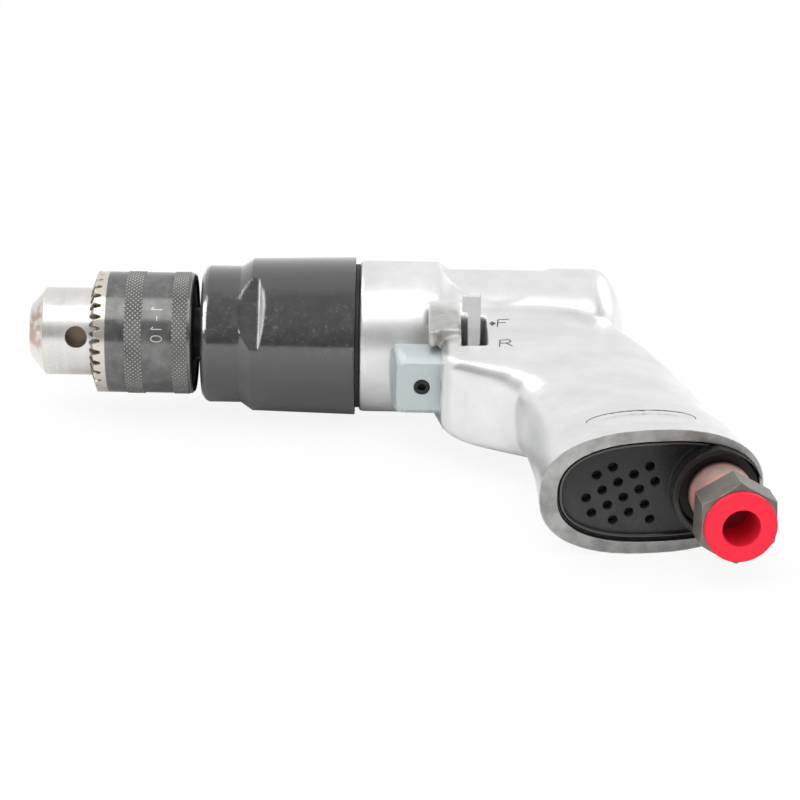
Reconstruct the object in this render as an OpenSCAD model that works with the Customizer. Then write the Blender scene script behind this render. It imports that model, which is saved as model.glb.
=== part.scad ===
// Reversible pistol-grip air drill with a keyed chuck, lying on its right side.
// Millimetres. The origin is the centre of the chuck's nose face, +X runs back along the spindle,
// -Y is the way the handle hangs and +Z is the tool's left side, which faces up.

/* [Chuck] */
// Diameter of the flat nose face
nose_face_d = 15.6; // [14.5:0.1:17]
// Least wall of the nose outside the jaw bores
nose_wall = 0.34; // [0.2:0.01:1.2]
// Length of the cone behind the nose face
nose_cone_len = 4.2; // [3:0.1:6]
// Distance from the nose face to the rim of the key teeth
sleeve_front = 19.3; // [19:0.1:21]
// Wall of the sleeve
sleeve_wall = 1.9; // [1.6:0.1:3]
// Length of the sleeve at its rim
sleeve_len = 28.2; // [27.5:0.1:32]
// Number of teeth for the chuck key
key_teeth = 32; // [24:1:40]
// Depth of a key tooth
tooth_depth = 1.9; // [1:0.1:2.4]
// Diameter of a key pilot hole
key_hole_d = 6.3; // [5:0.1:6.6]
// Distance from the rim of the key teeth forward to the key pilot holes
key_hole_setback = 5.4; // [5:0.1:7]
// Diameter of the shank bore
shank_bore_d = 10.6; // [9.6:0.1:10.8]
// Depth of the shank bore
shank_bore_len = 27; // [24:0.1:27.4]
// Diameter of a jaw
jaw_d = 4.8; // [4.2:0.1:5]
// Length of a jaw
jaw_len = 24; // [22:0.1:25]

/* [Nose cover] */
// Gap between the chuck sleeve and the cover
cover_gap = 2.2; // [1.5:0.1:4]
// Wall of the cover's neck
neck_wall = 2.75; // [2.4:0.05:3.4]
// Length of the neck
neck_len = 11.1; // [8:0.1:13]
// Wall where the neck's cone ends
cover_front_wall = 1.65; // [1.2:0.05:2.4]
// Wall at the cover's back edge
cover_rear_wall = 2.4; // [2:0.05:3.4]
// Wall under the two wrench flats
flat_wall = 2.3; // [1.6:0.05:2.6]

/* [Gear case] */
// Wall of the case round the spindle bearings
case_front_wall = 3; // [2.4:0.1:3.6]
// Wall of the case round the ring gear
case_rear_wall = 3.57; // [3:0.01:4.2]
// Thickness of the flange that shows as a dark line
flange_t = 1.1; // [0.8:0.1:2]
// Module of the planetary gears
gear_module = 0.6; // [0.58:0.01:0.61]
// Width of the planet gears
planet_face = 9.5; // [7:0.1:11]
// Room behind the planet gears, up to the motor
gear_room = 6.1; // [5.6:0.1:9]

/* [Motor] */
// Wall of the gear case's spigot, which sets the motor's bore
spigot_wall = 1.62; // [1.4:0.01:2]
// Length of the motor cylinder
motor_len = 39; // [34:0.1:42]
// Thinnest wall of the motor cylinder
cylinder_wall = 1.8; // [1.4:0.1:2.6]
// Distance between the rotor's axis and the cylinder's
rotor_shift = 1.6; // [1:0.1:2]

/* [Barrel] */
// Wall of the barrel at its front
barrel_front_wall = 3.4; // [2.8:0.1:4.4]
// Wall of the barrel behind the step
barrel_rear_wall = 2; // [1.6:0.1:2.6]
// Length of the wide front part of the barrel
barrel_front_len = 23; // [18:0.1:26]
// Length of the barrel behind the motor, over its domed end
barrel_rear_len = 18.4; // [16:0.1:24]
// Depth of the domed end
dome_len = 9.5; // [7:0.1:12]

/* [Handle] */
// Distance from the spindle to the middle of the handle's rim
handle_len = 112; // [106:0.5:124]
// Lean of the rim, in degrees
handle_lean = 8; // [6:0.5:10]
// Length of the rim
rim_len = 58; // [56:0.1:62]
// Width of the band along the sides of the rim
band_side = 3.2; // [2.6:0.1:4]
// Distance from the barrel's front to the middle of the rim
rim_setback = 76.3; // [74:0.1:80]
// Distance from the barrel's front to the face of the trigger block
block_setback = 23.1; // [21:0.1:26]
// Width of the trigger block
block_w = 27; // [26:0.1:30]
// Depth of the recess for the exhaust cover
rim_recess = 5; // [4:0.1:6]

/* [Trigger and valves] */
// Metal between the motor's bore and the trigger's
trigger_web = 5.8; // [4:0.1:8]
// Diameter of the trigger
trigger_d = 19.2; // [18.6:0.1:20]
// Distance that the trigger stands out of its block
trigger_reach = 14.5; // [12:0.1:17]
// Travel of the trigger
trigger_stroke = 6; // [4:0.1:6.5]
// Length of the reverse lever from the trigger's axis
lever_reach = 24; // [20:0.1:27]
// Thickness of the reverse lever
lever_t = 3.5; // [3:0.1:4]
// Turn of the reverse lever between forward and reverse, in degrees
lever_turn = 28; // [20:1:30]

/* [Air inlet] */
// Distance from the back end of the rim's recess to the inlet's axis
inlet_inset = 10.8; // [10.7:0.1:12]
// Hexagon of the inlet bushing across its flats
hex_across = 19; // [18:0.1:22]
// Length of the hexagon
hex_len = 9; // [7:0.1:11]
// Distance from the rim to the hexagon's outer face
hex_out = 22.5; // [20:0.1:25]
// Diameter of the thread for the hose fitting
inlet_thread_d = 11.4; // [11:0.1:11.8]
// Diameter of the transport plug's flange
plug_d = 18.2; // [16:0.1:19]

/* [Hidden] */

// Fits
run_gap = 0.05;
slide_gap = 0.1;
seat_gap = 0.1;
press_gap = 0.01;
over = 1;

// Chuck
tooth_lead = 1.7;
sleeve_bevel = 0.8;
sleeve_overhang = 0.6;
jaw_r = jaw_d / 2;
jaw_tilt = 15;
jaw_count = 3;
jaw_travel = 16.8;
jaw_tip_open = 9.5;
jaw_axis_r = 3.4;
jaw_open_r = shank_bore_d / 2 + run_gap;
jaw_bore_len = jaw_len + 4;
jaw_back = jaw_tip_open + jaw_len * cos(jaw_tilt);
key_angle = 12;
key_hole_floor = 7.2;
key_hole_x = sleeve_front - key_hole_setback;
nut_front = sleeve_front + 4.7;
nut_len = 6.4;
nut_wall = 0.96;
nose_r = jaw_line(nut_front - 0.2) + (jaw_r + run_gap) / cos(jaw_tilt) + nose_wall;
nut_r = jaw_line(max(jaw_back, nut_front + nut_len)) + jaw_r / cos(jaw_tilt) + nut_wall;
sleeve_r = nut_r + sleeve_wall;
groove_r = 10.4;
screw_head_d = 8.6;
screw_head_len = 3;
screw_d = 4.8;
screw_len = 13;
x_sleeve_rear = sleeve_front + sleeve_len;
x_chuck_rear = x_sleeve_rear - sleeve_overhang;
x_screw_seat = shank_bore_len + screw_head_len + seat_gap;
thread_wall = 1.2;
x_thread = x_screw_seat + thread_wall;
thread_d = 9.5;

// Nose cover and gear case
cover_wall = 2.1;
cover_edge = 1.9;
cone_len = 3.4;
flat_angle = 37;
case_wall = 2.8;
spigot_len = 5;
x_cover = x_sleeve_rear + cover_gap;
x_case = x_cover + cover_wall + seat_gap;
case_step = 17.5;
flats_len = x_case + case_step - x_cover - 0.4;

// Spindle bearings, as bore, outer diameter and width
spindle_brg = [12, 28, 8];
front_brg = [10, 22, 6];
rear_brg = [6, 19, 6];
ball_count = 7;
spacer_len = 7;
spacer_wall = 1.4;
shoulder_d = 14.8;
hub_d = 15;
x_brg_1 = x_case + case_wall;
x_brg_2 = x_brg_1 + spindle_brg[2] + spacer_len;
x_hub = x_brg_2 + spindle_brg[2];
hub_len = 1;
carrier_t = 4.5;
x_carrier = x_hub + hub_len;
x_gears = x_carrier + carrier_t + seat_gap;
pin_d = 4;
pin_edge = 2.3;

// Planetary gears
sun_teeth = 12;
planet_teeth = 18;
ring_teeth = sun_teeth + 2 * planet_teeth;
planet_count = 3;
pressure_angle = 25;
addendum = 0.95;
dedendum = 1.2;
backlash = 0.1;
gear_orbit = gear_module * (sun_teeth + planet_teeth) / 2;
ring_r = gear_module * (ring_teeth / 2 + dedendum) + 1.7;
planet_gap = 0.6;
carrier_r = gear_orbit + pin_d / 2 + pin_edge;
x_pins = x_gears + planet_gap + planet_face + 0.5;
x_plate_1 = x_pins + gear_room;
x_barrel = x_plate_1 - seat_gap - spigot_len;
x_cover_rear = x_barrel - flange_t;
case_front_r = spindle_brg[1] / 2 + case_front_wall;
case_rear_r = ring_r + press_gap + case_rear_wall;
flange_r = case_rear_r + 0.4;
spigot_r = ring_r + press_gap + spigot_wall;
cover_rear_r = case_rear_r + slide_gap + cover_rear_wall;

// Motor
plate_t = 7;
motor_bore_r = spigot_r + run_gap;
motor_r = motor_bore_r - slide_gap;
rotor_clear = 0.2;
rotor_r = motor_r - cylinder_wall - 2 * rotor_shift - rotor_clear;
rotor_gap = 0.15;
vane_count = 5;
vane_t = 2;
vane_root_r = 7.2;
dowel_d = 2;
dowel_r = motor_r - 2.4;
x_cylinder = x_plate_1 + plate_t;
x_plate_2 = x_cylinder + motor_len;
x_bore_end = x_plate_2 + plate_t + seat_gap;
port_d = 3.4;
barrel_front_r = motor_bore_r + barrel_front_wall;
barrel_rear_r = motor_bore_r + barrel_rear_wall;
barrel_len = x_bore_end + barrel_rear_len - x_barrel;

// Trigger and valves
trigger_r = trigger_d / 2;
trigger_drop = motor_bore_r + trigger_web + slide_gap + trigger_r;
trigger_flat = trigger_r - 2.8;
trigger_slope = 8.5;
trigger_edge = 2.4;
trigger_guide = 0.8;
trigger_cap = 4.2;
trigger_shank_d = 8;
trigger_shank_len = 12;
stem_d = 4;
stem_screw_d = 4.5;
stem_screw_x = 9.5;
x_block = x_barrel + block_setback;
x_trigger = x_block - trigger_reach;
x_lever = x_block + trigger_guide + trigger_stroke + 0.7;
lever_w = 4;
lever_rest = lever_turn / 2;
lever_root = 6;
lever_pad = 1.6;
lever_pad_len = 4.4;
hub_r = trigger_r - 0.7;
reverse_r = hub_r - 0.95;
reverse_bore_r = 4.6;
x_reverse = x_lever + lever_t;
reverse_len = 14;
x_bushing = x_reverse + reverse_len + 0.2;
bushing_len = 8.8;
bushing_guide = 3.8;
valve_bore_r = reverse_r + slide_gap;
valve_head_r = 5.4;
valve_head_len = 2.5;
x_seat = x_bushing + bushing_len;
spring_r = 3.6;
spring_wire = 0.9;
spring_len = 14.8;
spring_turns = 7;
x_spring = x_seat + valve_head_len + 0.3;
x_valve_end = x_spring + spring_len + seat_gap;

// Handle
x_rim = x_barrel + rim_setback;
block_drop = trigger_drop + 15;
grip_len = handle_len - block_drop;
rim_front = rim_setback - rim_len / 2;
rim_back = rim_setback + rim_len / 2;
valve_back = x_valve_end - x_barrel + 9.9;
bushing_r = inlet_thread_d / 2 + 3.7;
bushing_flange_r = bushing_r + 0.9;
bushing_thread_r = bushing_r - 1.2;
bushing_neck_r = inlet_thread_d / 2 + 2.5;
collar_bore_r = bushing_flange_r + 0.6;
collar_r = collar_bore_r + 1.4;
rim_w = 2 * (collar_r + 1.5 + band_side);
// Each station is its drop, front, back, half width and the squareness of its front and back
stations = [
    [2, block_setback, barrel_len - 7, block_w / 2 + 1, 6, 3],
    [14, block_setback, barrel_len - 1, block_w / 2 + 1, 6, 2.6],
    [30, block_setback, valve_back, block_w / 2 + 0.5, 6, 2.4],
    [block_drop, block_setback, mix(valve_back, rim_back, 0.32), block_w / 2, 5, 2.3],
    [block_drop + 15, rim_front - 4, mix(valve_back, rim_back, 0.466), rim_w / 2 - 3, 3, 2.3],
    [block_drop + 0.48 * grip_len, rim_front - 1.5, mix(valve_back, rim_back, 0.553),
        rim_w / 2 - 2, 2.6, 2.3],
    [block_drop + 0.72 * grip_len, rim_front - 0.5, mix(valve_back, rim_back, 0.806),
        rim_w / 2 - 0.8, 2.4, 2.3],
    [handle_len, rim_front, rim_back, rim_w / 2, 2.4, 2.4]];
loft_steps = 4;
loft_sides = 56;
guard_lead = 3.5;
guard_t = 2.2;
guard_leg = 2.4;
guard_drop = trigger_drop + 2;
slot_w = 7;
slot_down = lever_reach * sin(lever_rest) + lever_w / 2 + 0.5;
slot_up = slot_down + 5.2;
scoop_d = 32;
scoop_depth = 0.7;
scoop_x = 39;
scoop_angle = 100;

// Exhaust and inlet, measured outwards from the rim
band_front = 4.6;
band_rear = 1;
recess_len = rim_len - band_front - band_rear;
recess_shift = (band_front - band_rear) / 2;
recess_w = rim_w - 2 * band_side;
cover_t = 3;
cover_top = cover_t - rim_recess;
cover_lip = 0.7;
cover_lip_w = 1.2;
recess_front = recess_shift - recess_len / 2;
inlet_offset = recess_shift + recess_len / 2 - inlet_inset;
collar_out = 3;
vent_d = 2.5;
vent_x = recess_front + 17.6;
vent_z = -2;
vent_u = [4.05, 2];
vent_v = [-1.55, 4.2];
// Each row of vents is its step along vent_v and its first and last step along vent_u
vent_rows = [[-2, 1, 1], [-1, -1, 1], [0, -2, 2], [1, -2, 2], [2, -1, 0]];
exhaust_front = recess_front + 1.9;
exhaust_back = inlet_offset - bushing_thread_r - 6.6;
exhaust_x = (exhaust_front + exhaust_back) / 2;
exhaust_l = exhaust_back - exhaust_front;
exhaust_w = recess_w - 8.6;
exhaust_depth = handle_len - trigger_drop - 30;
felt_len = 12;
bushing_flange_t = 2.4;
bushing_thread_len = 15;
hex_in = hex_out - hex_len;
plug_flange_t = 2;
plug_stem_len = 10;
plug_stem_r = inlet_thread_d / 2 + 0.4;
plug_hole_r = plug_stem_r - 1.25;
plug_floor = 1.2;
thread_len = 7.5;
screen_t = 1.2;
screen_r = inlet_thread_d / 2 + 0.55;
screen_ledge = 1.1;
x_screen = hex_out - plug_stem_len - 0.5 - thread_len - screen_t;
seal_r = 0.8;
passage_r = 5.5;

// Shapes along the spindle. Profile points are radius and distance from the nose face.
module lathe(points) {
    rotate([0, 90, 0]) rotate_extrude($fn = 96) polygon(points);
}

module rod(r, x0, x1) {
    translate([x0, 0, 0]) rotate([0, 90, 0]) cylinder(r = r, h = x1 - x0, $fn = 64);
}

module tube(r, bore, x0, x1) {
    difference() {
        rod(r, x0, x1);
        rod(bore, x0 - over, x1 + over);
    }
}

module along_x(x0, x1) {
    translate([x0, 0, 0]) rotate([90, 0, 90]) linear_extrude(x1 - x0) children();
}

// Turns what is drawn towards +Z to face an angle, counted from -Y towards +Z
module facing(angle) {
    rotate([90 - angle, 0, 0]) children();
}

module drilled(r, x, r0, r1, angle) {
    facing(angle) translate([x, 0, r0]) cylinder(r = r, h = r1 - r0, $fn = 48);
}

module at_trigger() {
    translate([0, -trigger_drop, 0]) children();
}

module at_rim() {
    translate([x_rim, -handle_len, 0]) rotate([90, 0, handle_lean]) children();
}

module at_inlet() {
    at_rim() translate([inlet_offset, 0, 0]) children();
}

function mix(a, b, t) = a + (b - a) * t;

// Ball bearings, from bore, outer diameter and width
function ball_r(brg) = 0.15 * (brg[1] - brg[0]);
function ball_orbit(brg) = (brg[0] + brg[1]) / 4;

module ball_track(brg, x) {
    translate([x + brg[2] / 2, 0, 0]) rotate([0, 90, 0]) rotate_extrude($fn = 64)
        translate([ball_orbit(brg), 0]) circle(r = ball_r(brg) + run_gap, $fn = 32);
}

module outer_race(brg, x) {
    difference() {
        tube(brg[1] / 2, ball_orbit(brg) + 0.75 * ball_r(brg), x, x + brg[2]);
        ball_track(brg, x);
    }
}

module inner_race(brg, x) {
    difference() {
        tube(ball_orbit(brg) - 0.75 * ball_r(brg), brg[0] / 2 + press_gap, x, x + brg[2]);
        ball_track(brg, x);
    }
}

module balls(brg, x) {
    for (i = [0:ball_count - 1]) rotate([i * 360 / ball_count, 0, 0])
        translate([x + brg[2] / 2, 0, ball_orbit(brg)]) sphere(r = ball_r(brg), $fn = 32);
}

// Involute gears
function involute(a) = tan(a) * 180 / PI - a;
function half_tooth(n, r, slack) =
    let (pitch_r = gear_module * n / 2, base_r = pitch_r * cos(pressure_angle))
    90 / n - slack / pitch_r * 45 / PI + involute(pressure_angle) - involute(acos(min(1, base_r / r)));

module gear_outline(n, root_r, tip_r, slack) {
    base_r = gear_module * n / 2 * cos(pressure_angle);
    low_r = max(root_r, base_r);
    radii = concat(root_r < base_r ? [root_r] : [], [low_r, mix(low_r, tip_r, 0.5), tip_r]);
    last = len(radii) - 1;
    polygon([for (i = [0:n - 1]) for (k = [0:2 * last + 1])
        let (r = radii[k <= last ? k : 2 * last + 1 - k],
             side = k <= last ? -1 : 1,
             a = i * 360 / n + side * half_tooth(n, r, slack))
        r * [cos(a), sin(a)]]);
}

module spur_outline(n) {
    gear_outline(n, gear_module * (n / 2 - dedendum), gear_module * (n / 2 + addendum), backlash);
}

// Oval with ends squared by the power p, as points about the origin
function oval(a, b, p, sides) = [for (i = [0:sides - 1])
    let (t = i * 360 / sides, k = pow(pow(abs(cos(t)), p) + pow(abs(sin(t)), p), 1 / p))
    [a * cos(t) / k, b * sin(t) / k]];

// Chuck
function jaw_line(x) = jaw_axis_r + x * tan(jaw_tilt);
function jaw_angle(i) = key_angle + 60 + i * 360 / jaw_count;

module jaw_rod(r, x, length) {
    translate([x, 0, jaw_line(x)]) rotate([0, 90 - jaw_tilt, 0]) cylinder(r = r, h = length, $fn = 48);
}

module chuck_body() {
    color("#b9b4ac") difference() {
        lathe([[0, 0], [nose_face_d / 2, 0], [nose_r, nose_cone_len], [nose_r, nut_front - 0.2],
            [groove_r, nut_front - 0.2], [groove_r, nut_front + nut_len + 0.2],
            [nut_r - run_gap, nut_front + nut_len + 0.2], [nut_r - run_gap, x_chuck_rear],
            [0, x_chuck_rear]]);
        rod(shank_bore_d / 2, -over, shank_bore_len);
        rod(screw_head_d / 2 + slide_gap, 0, x_screw_seat);
        rod(screw_d / 2 + slide_gap, 0, x_thread + over);
        rod(thread_d / 2 + run_gap, x_thread, x_chuck_rear + over);
        for (i = [0:jaw_count - 1]) {
            facing(jaw_angle(i)) jaw_rod(jaw_r + run_gap, -3, jaw_bore_len + jaw_tip_open + 3);
            drilled(key_hole_d / 2, key_hole_x, key_hole_floor, nose_r + over, key_angle + i * 120);
        }
    }
}

module chuck_sleeve() {
    color("#3b3d40") difference() {
        lathe([[nose_r + run_gap, sleeve_front - tooth_lead], [sleeve_r, sleeve_front],
            [sleeve_r, x_sleeve_rear - sleeve_bevel], [sleeve_r - sleeve_bevel, x_sleeve_rear],
            [nut_r, x_sleeve_rear], [nut_r, nut_front - 0.2],
            [nose_r + run_gap, nut_front - 0.2]]);
        for (i = [0:key_teeth - 1]) rotate([i * 360 / key_teeth, 0, 0]) key_tooth_gap();
    }
}

// One notch between two key teeth, along the bevelled front of the sleeve
module key_tooth_gap() {
    half = PI * sleeve_r / key_teeth * 0.55;
    bevel = atan2(tooth_lead, sleeve_r - nose_r);
    translate([sleeve_front - tooth_lead, 0, nose_r]) rotate([0, bevel, 0])
        translate([0, 0, -over]) linear_extrude(sleeve_r - nose_r + 3)
            polygon([[-over, -half * 1.3], [tooth_depth, -half * 0.35],
                [tooth_depth, half * 0.35], [-over, half * 1.3]]);
}

module chuck_nut() {
    reach = jaw_r / cos(jaw_tilt) + 0.15;
    color("#8d8a84") lathe([[jaw_line(nut_front) + reach, nut_front], [nut_r - press_gap, nut_front],
        [nut_r - press_gap, nut_front + nut_len],
        [jaw_line(nut_front + nut_len) + reach, nut_front + nut_len]]);
}

module chuck_jaw(i) {
    side = 6;
    color("#a9a59d") facing(jaw_angle(i)) intersection() {
        jaw_rod(jaw_r, jaw_tip_open, jaw_len);
        along_x(0, x_chuck_rear) polygon([[0, jaw_open_r], [side, jaw_open_r + side * tan(30)],
            [side, sleeve_r], [-side, sleeve_r], [-side, jaw_open_r + side * tan(30)]]);
    }
}

module chuck_jaw_1() { chuck_jaw(0); }
module chuck_jaw_2() { chuck_jaw(1); }
module chuck_jaw_3() { chuck_jaw(2); }

module chuck_screw() {
    color("#55524e") difference() {
        union() {
            rod(screw_head_d / 2, shank_bore_len + seat_gap, x_screw_seat);
            rod(screw_d / 2, x_screw_seat - seat_gap, x_screw_seat + screw_len);
        }
        translate([shank_bore_len, 0, 0]) rotate([0, 90, 0]) cylinder(d = 4.6, h = 2, $fn = 6);
    }
}

// Nose cover and gear case
module nose_cover() {
    r_neck = case_front_r + slide_gap + neck_wall;
    r_narrow = case_front_r + slide_gap;
    r_wide = case_rear_r + slide_gap;
    x_cone = x_cover + neck_len;
    color("#17181a") difference() {
        lathe([[shoulder_d / 2 + 1, x_cover], [r_neck - cover_edge, x_cover],
            [r_neck - 0.3 * cover_edge, x_cover + 0.5 * cover_edge], [r_neck, x_cover + cover_edge],
            [r_neck, x_cone], [r_wide + cover_front_wall, x_cone + cone_len],
            [cover_rear_r, x_cover_rear], [r_wide, x_cover_rear],
            [r_wide, x_case + case_step], [r_narrow, x_case + case_step],
            [r_narrow, x_cover + cover_wall], [shoulder_d / 2 + 1, x_cover + cover_wall]]);
        for (side = [0, 180]) facing(flat_angle + side) wrench_flat();
    }
}

// A wrench flat with a sloping end wall
module wrench_flat() {
    slope = 2.6;
    half = cover_rear_r;
    flat = case_front_r + slide_gap + flat_wall;
    translate([0, -half, 0]) rotate([90, 0, 0]) mirror([0, 0, 1]) linear_extrude(2 * half)
        polygon([[x_cover + neck_len, flat], [x_cover + flats_len - slope, flat],
            [x_cover + flats_len, half + over], [x_cover + neck_len, half + over]]);
}

module gear_case() {
    r_bearing = spindle_brg[1] / 2 + press_gap;
    r_carrier = max(r_bearing + 0.3, carrier_r + 1);
    r_ring = ring_r + press_gap;
    color("#3a3b3d") lathe([[shoulder_d / 2 + 0.6, x_case], [case_front_r, x_case],
        [case_front_r, x_case + case_step], [case_rear_r, x_case + case_step],
        [case_rear_r, x_cover_rear], [flange_r, x_cover_rear], [flange_r, x_barrel],
        [spigot_r, x_barrel], [spigot_r, x_barrel + spigot_len], [r_ring, x_barrel + spigot_len],
        [r_ring, x_gears], [r_carrier, x_gears], [r_carrier, x_hub], [r_bearing, x_hub], [r_bearing, x_brg_1],
        [shoulder_d / 2 + 0.6, x_brg_1]]);
}

// Output spindle with the planet carrier
module spindle() {
    r_brg = spindle_brg[0] / 2;
    color("#a7a49c") difference() {
        union() {
            lathe([[0, x_thread + 0.1], [thread_d / 2, x_thread + 0.1], [thread_d / 2, x_chuck_rear],
                [shoulder_d / 2, x_chuck_rear], [shoulder_d / 2, x_brg_1], [r_brg, x_brg_1],
                [r_brg, x_hub], [hub_d / 2, x_hub], [hub_d / 2, x_carrier],
                [carrier_r, x_carrier], [carrier_r, x_carrier + carrier_t],
                [0, x_carrier + carrier_t]]);
        }
        rod(screw_d / 2 + run_gap, x_thread - over, x_screw_seat + screw_len + 1);
        rod(gear_module * (sun_teeth / 2 + addendum) + 0.6, x_carrier + 1.5, x_gears + over);
        for (i = [0:planet_count - 1]) at_planet(i) rod(pin_d / 2 + press_gap, x_hub, x_gears + over);
    }
}

module at_planet(i) {
    a = i * 360 / planet_count;
    translate([0, gear_orbit * cos(a), gear_orbit * sin(a)]) children();
}

module spindle_bearing_outer() {
    color("#9a9a98") for (x = [x_brg_1, x_brg_2]) outer_race(spindle_brg, x);
}

module spindle_bearing_inner() {
    color("#9a9a98") for (x = [x_brg_1, x_brg_2]) inner_race(spindle_brg, x);
}

module spindle_bearing_balls() {
    color("#c8c8c6") for (x = [x_brg_1, x_brg_2]) balls(spindle_brg, x);
}

module bearing_spacer() {
    r = spindle_brg[1] / 2;
    color("#85837e") tube(r, r - spacer_wall, x_brg_1 + spindle_brg[2], x_brg_2);
}

module planet_pins() {
    color("#b4b2ab") for (i = [0:planet_count - 1]) at_planet(i) rod(pin_d / 2, x_carrier, x_pins);
}

module planet_gear(i) {
    x = x_gears + planet_gap;
    color("#8f8c80") at_planet(i) difference() {
        along_x(x, x + planet_face) rotate(i * 360 / planet_count + 180 / planet_teeth)
            spur_outline(planet_teeth);
        rod(pin_d / 2 + run_gap, x - over, x + planet_face + over);
    }
}

module planet_gear_1() { planet_gear(0); }
module planet_gear_2() { planet_gear(1); }
module planet_gear_3() { planet_gear(2); }

module ring_gear() {
    x_end = x_plate_1 - seat_gap;
    color("#86847c") difference() {
        rod(ring_r, x_gears, x_end);
        along_x(x_gears - over, x_end + over) rotate(180 / ring_teeth)
            gear_outline(ring_teeth, gear_module * (ring_teeth / 2 - addendum),
                gear_module * (ring_teeth / 2 + dedendum), -backlash);
    }
}

// Vane motor
module end_plate(brg, x, x_pocket, journal) {
    difference() {
        rod(motor_r, x, x + plate_t);
        rod(brg[1] / 2 + press_gap, x_pocket, x_pocket + plate_t);
        rod(journal, x - over, x + plate_t + over);
        translate([0, -dowel_r, 0]) rod(dowel_d / 2 + press_gap, x - over, x + plate_t + over);
    }
}

module front_end_plate() {
    color("#7d7e80") end_plate(front_brg, x_plate_1, x_plate_1 - 1, front_brg[0] / 2 + 0.5);
}

module rear_end_plate() {
    color("#7d7e80") end_plate(rear_brg, x_plate_2, x_plate_2 + 1, rear_brg[0] / 2 + 0.5);
}

module front_bearing_outer() {
    color("#9a9a98") outer_race(front_brg, x_plate_1);
}

module front_bearing_inner() {
    color("#9a9a98") inner_race(front_brg, x_plate_1);
}

module front_bearing_balls() {
    color("#c8c8c6") balls(front_brg, x_plate_1);
}

module rear_bearing_outer() {
    color("#9a9a98") outer_race(rear_brg, x_plate_2 + 1);
}

module rear_bearing_inner() {
    color("#9a9a98") inner_race(rear_brg, x_plate_2 + 1);
}

module rear_bearing_balls() {
    color("#c8c8c6") balls(rear_brg, x_plate_2 + 1);
}

// Rotor with the sun pinion on its front end
module rotor() {
    x0 = x_cylinder + rotor_gap;
    x1 = x_plate_2 - rotor_gap;
    x_pinion = x_gears + planet_gap;
    x_neck = x_plate_1 - 2;
    color("#8a8a88") union() {
        difference() {
            lathe([[0, x_neck - over], [sun_teeth * gear_module * 0.37, x_neck - over],
                [sun_teeth * gear_module * 0.37, x_neck], [front_brg[0] / 2, x_neck], [front_brg[0] / 2, x0],
                [rotor_r, x0], [rotor_r, x1], [rear_brg[0] / 2, x1],
                [rear_brg[0] / 2, x_bore_end - 0.5], [0, x_bore_end - 0.5]]);
            for (i = [0:vane_count - 1]) rotate([i * 360 / vane_count, 0, 0])
                translate([x0 - over, -vane_t / 2 - run_gap, vane_root_r])
                    cube([x1 - x0 + 2 * over, vane_t + 2 * run_gap, rotor_r]);
        }
        along_x(x_pinion, x_neck - over) spur_outline(sun_teeth);
    }
}

module rotor_vanes() {
    x0 = x_cylinder + rotor_gap;
    x1 = x_plate_2 - rotor_gap;
    color("#6b4a2c") for (i = [0:vane_count - 1]) rotate([i * 360 / vane_count, 0, 0])
        translate([x0, -vane_t / 2, vane_root_r + slide_gap])
            cube([x1 - x0, vane_t, rotor_r - vane_root_r - 2 * slide_gap]);
}

module motor_cylinder() {
    color("#77797c") difference() {
        rod(motor_r, x_cylinder, x_plate_2);
        translate([0, rotor_shift, 0])
            rod(rotor_r + rotor_shift + rotor_clear, x_cylinder - over, x_plate_2 + over);
        translate([0, -dowel_r, 0]) rod(dowel_d / 2 + press_gap, x_cylinder - over, x_plate_2 + over);
        for (k = [0.25, 0.5, 0.75], side = [110, 250])
            drilled(port_d / 2, mix(x_cylinder, x_plate_2, k), rotor_r / 2, motor_r + over, side);
    }
}

module cylinder_pin() {
    color("#a0a09c") translate([0, -dowel_r, 0])
        rod(dowel_d / 2, x_plate_1 + 2, x_plate_2 + plate_t - 2);
}

// Housing: the barrel is turned and the handle is lofted through the stations
function slope(s, i, k) = (s[i + 1][k] - s[i][k]) / (s[i + 1][0] - s[i][0]);
function tangent(s, i, k) =
    i == 0 ? slope(s, 0, k) : i == len(s) - 1 ? slope(s, i - 1, k) :
    let (a = slope(s, i - 1, k), b = slope(s, i, k)) a * b <= 0 ? 0 : 2 * a * b / (a + b);
function blend(s, i, k, t) =
    let (d = s[i + 1][0] - s[i][0], t2 = t * t, t3 = t2 * t)
    (2 * t3 - 3 * t2 + 1) * s[i][k] + (t3 - 2 * t2 + t) * d * tangent(s, i, k)
    + (3 * t2 - 2 * t3) * s[i + 1][k] + (t3 - t2) * d * tangent(s, i + 1, k);
function lean_at(drop) = handle_lean * min(1, max(0, (drop - block_drop) / (0.7 * grip_len)));

// The block's front edge is squarer on the left flank, and fades into the grip
function left_edge(drop) = 6 * min(1, max(0, (block_drop + 20 - drop) / 20));

function ring_at(s) =
    let (half = (s[2] - s[1]) / 2, mid = x_barrel + (s[1] + s[2]) / 2, lean = lean_at(s[0]))
    [for (i = [0:loft_sides - 1])
        let (t = i * 360 / loft_sides, p = cos(t) < 0 ? s[4] + (sin(t) > 0 ? left_edge(s[0]) : 0) : s[5],
             k = pow(pow(abs(cos(t)), p) + pow(abs(sin(t)), p), 1 / p),
             along = half * cos(t) / k)
        [mid + along * cos(lean), along * sin(lean) - s[0], s[3] * sin(t) / k]];

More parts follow.
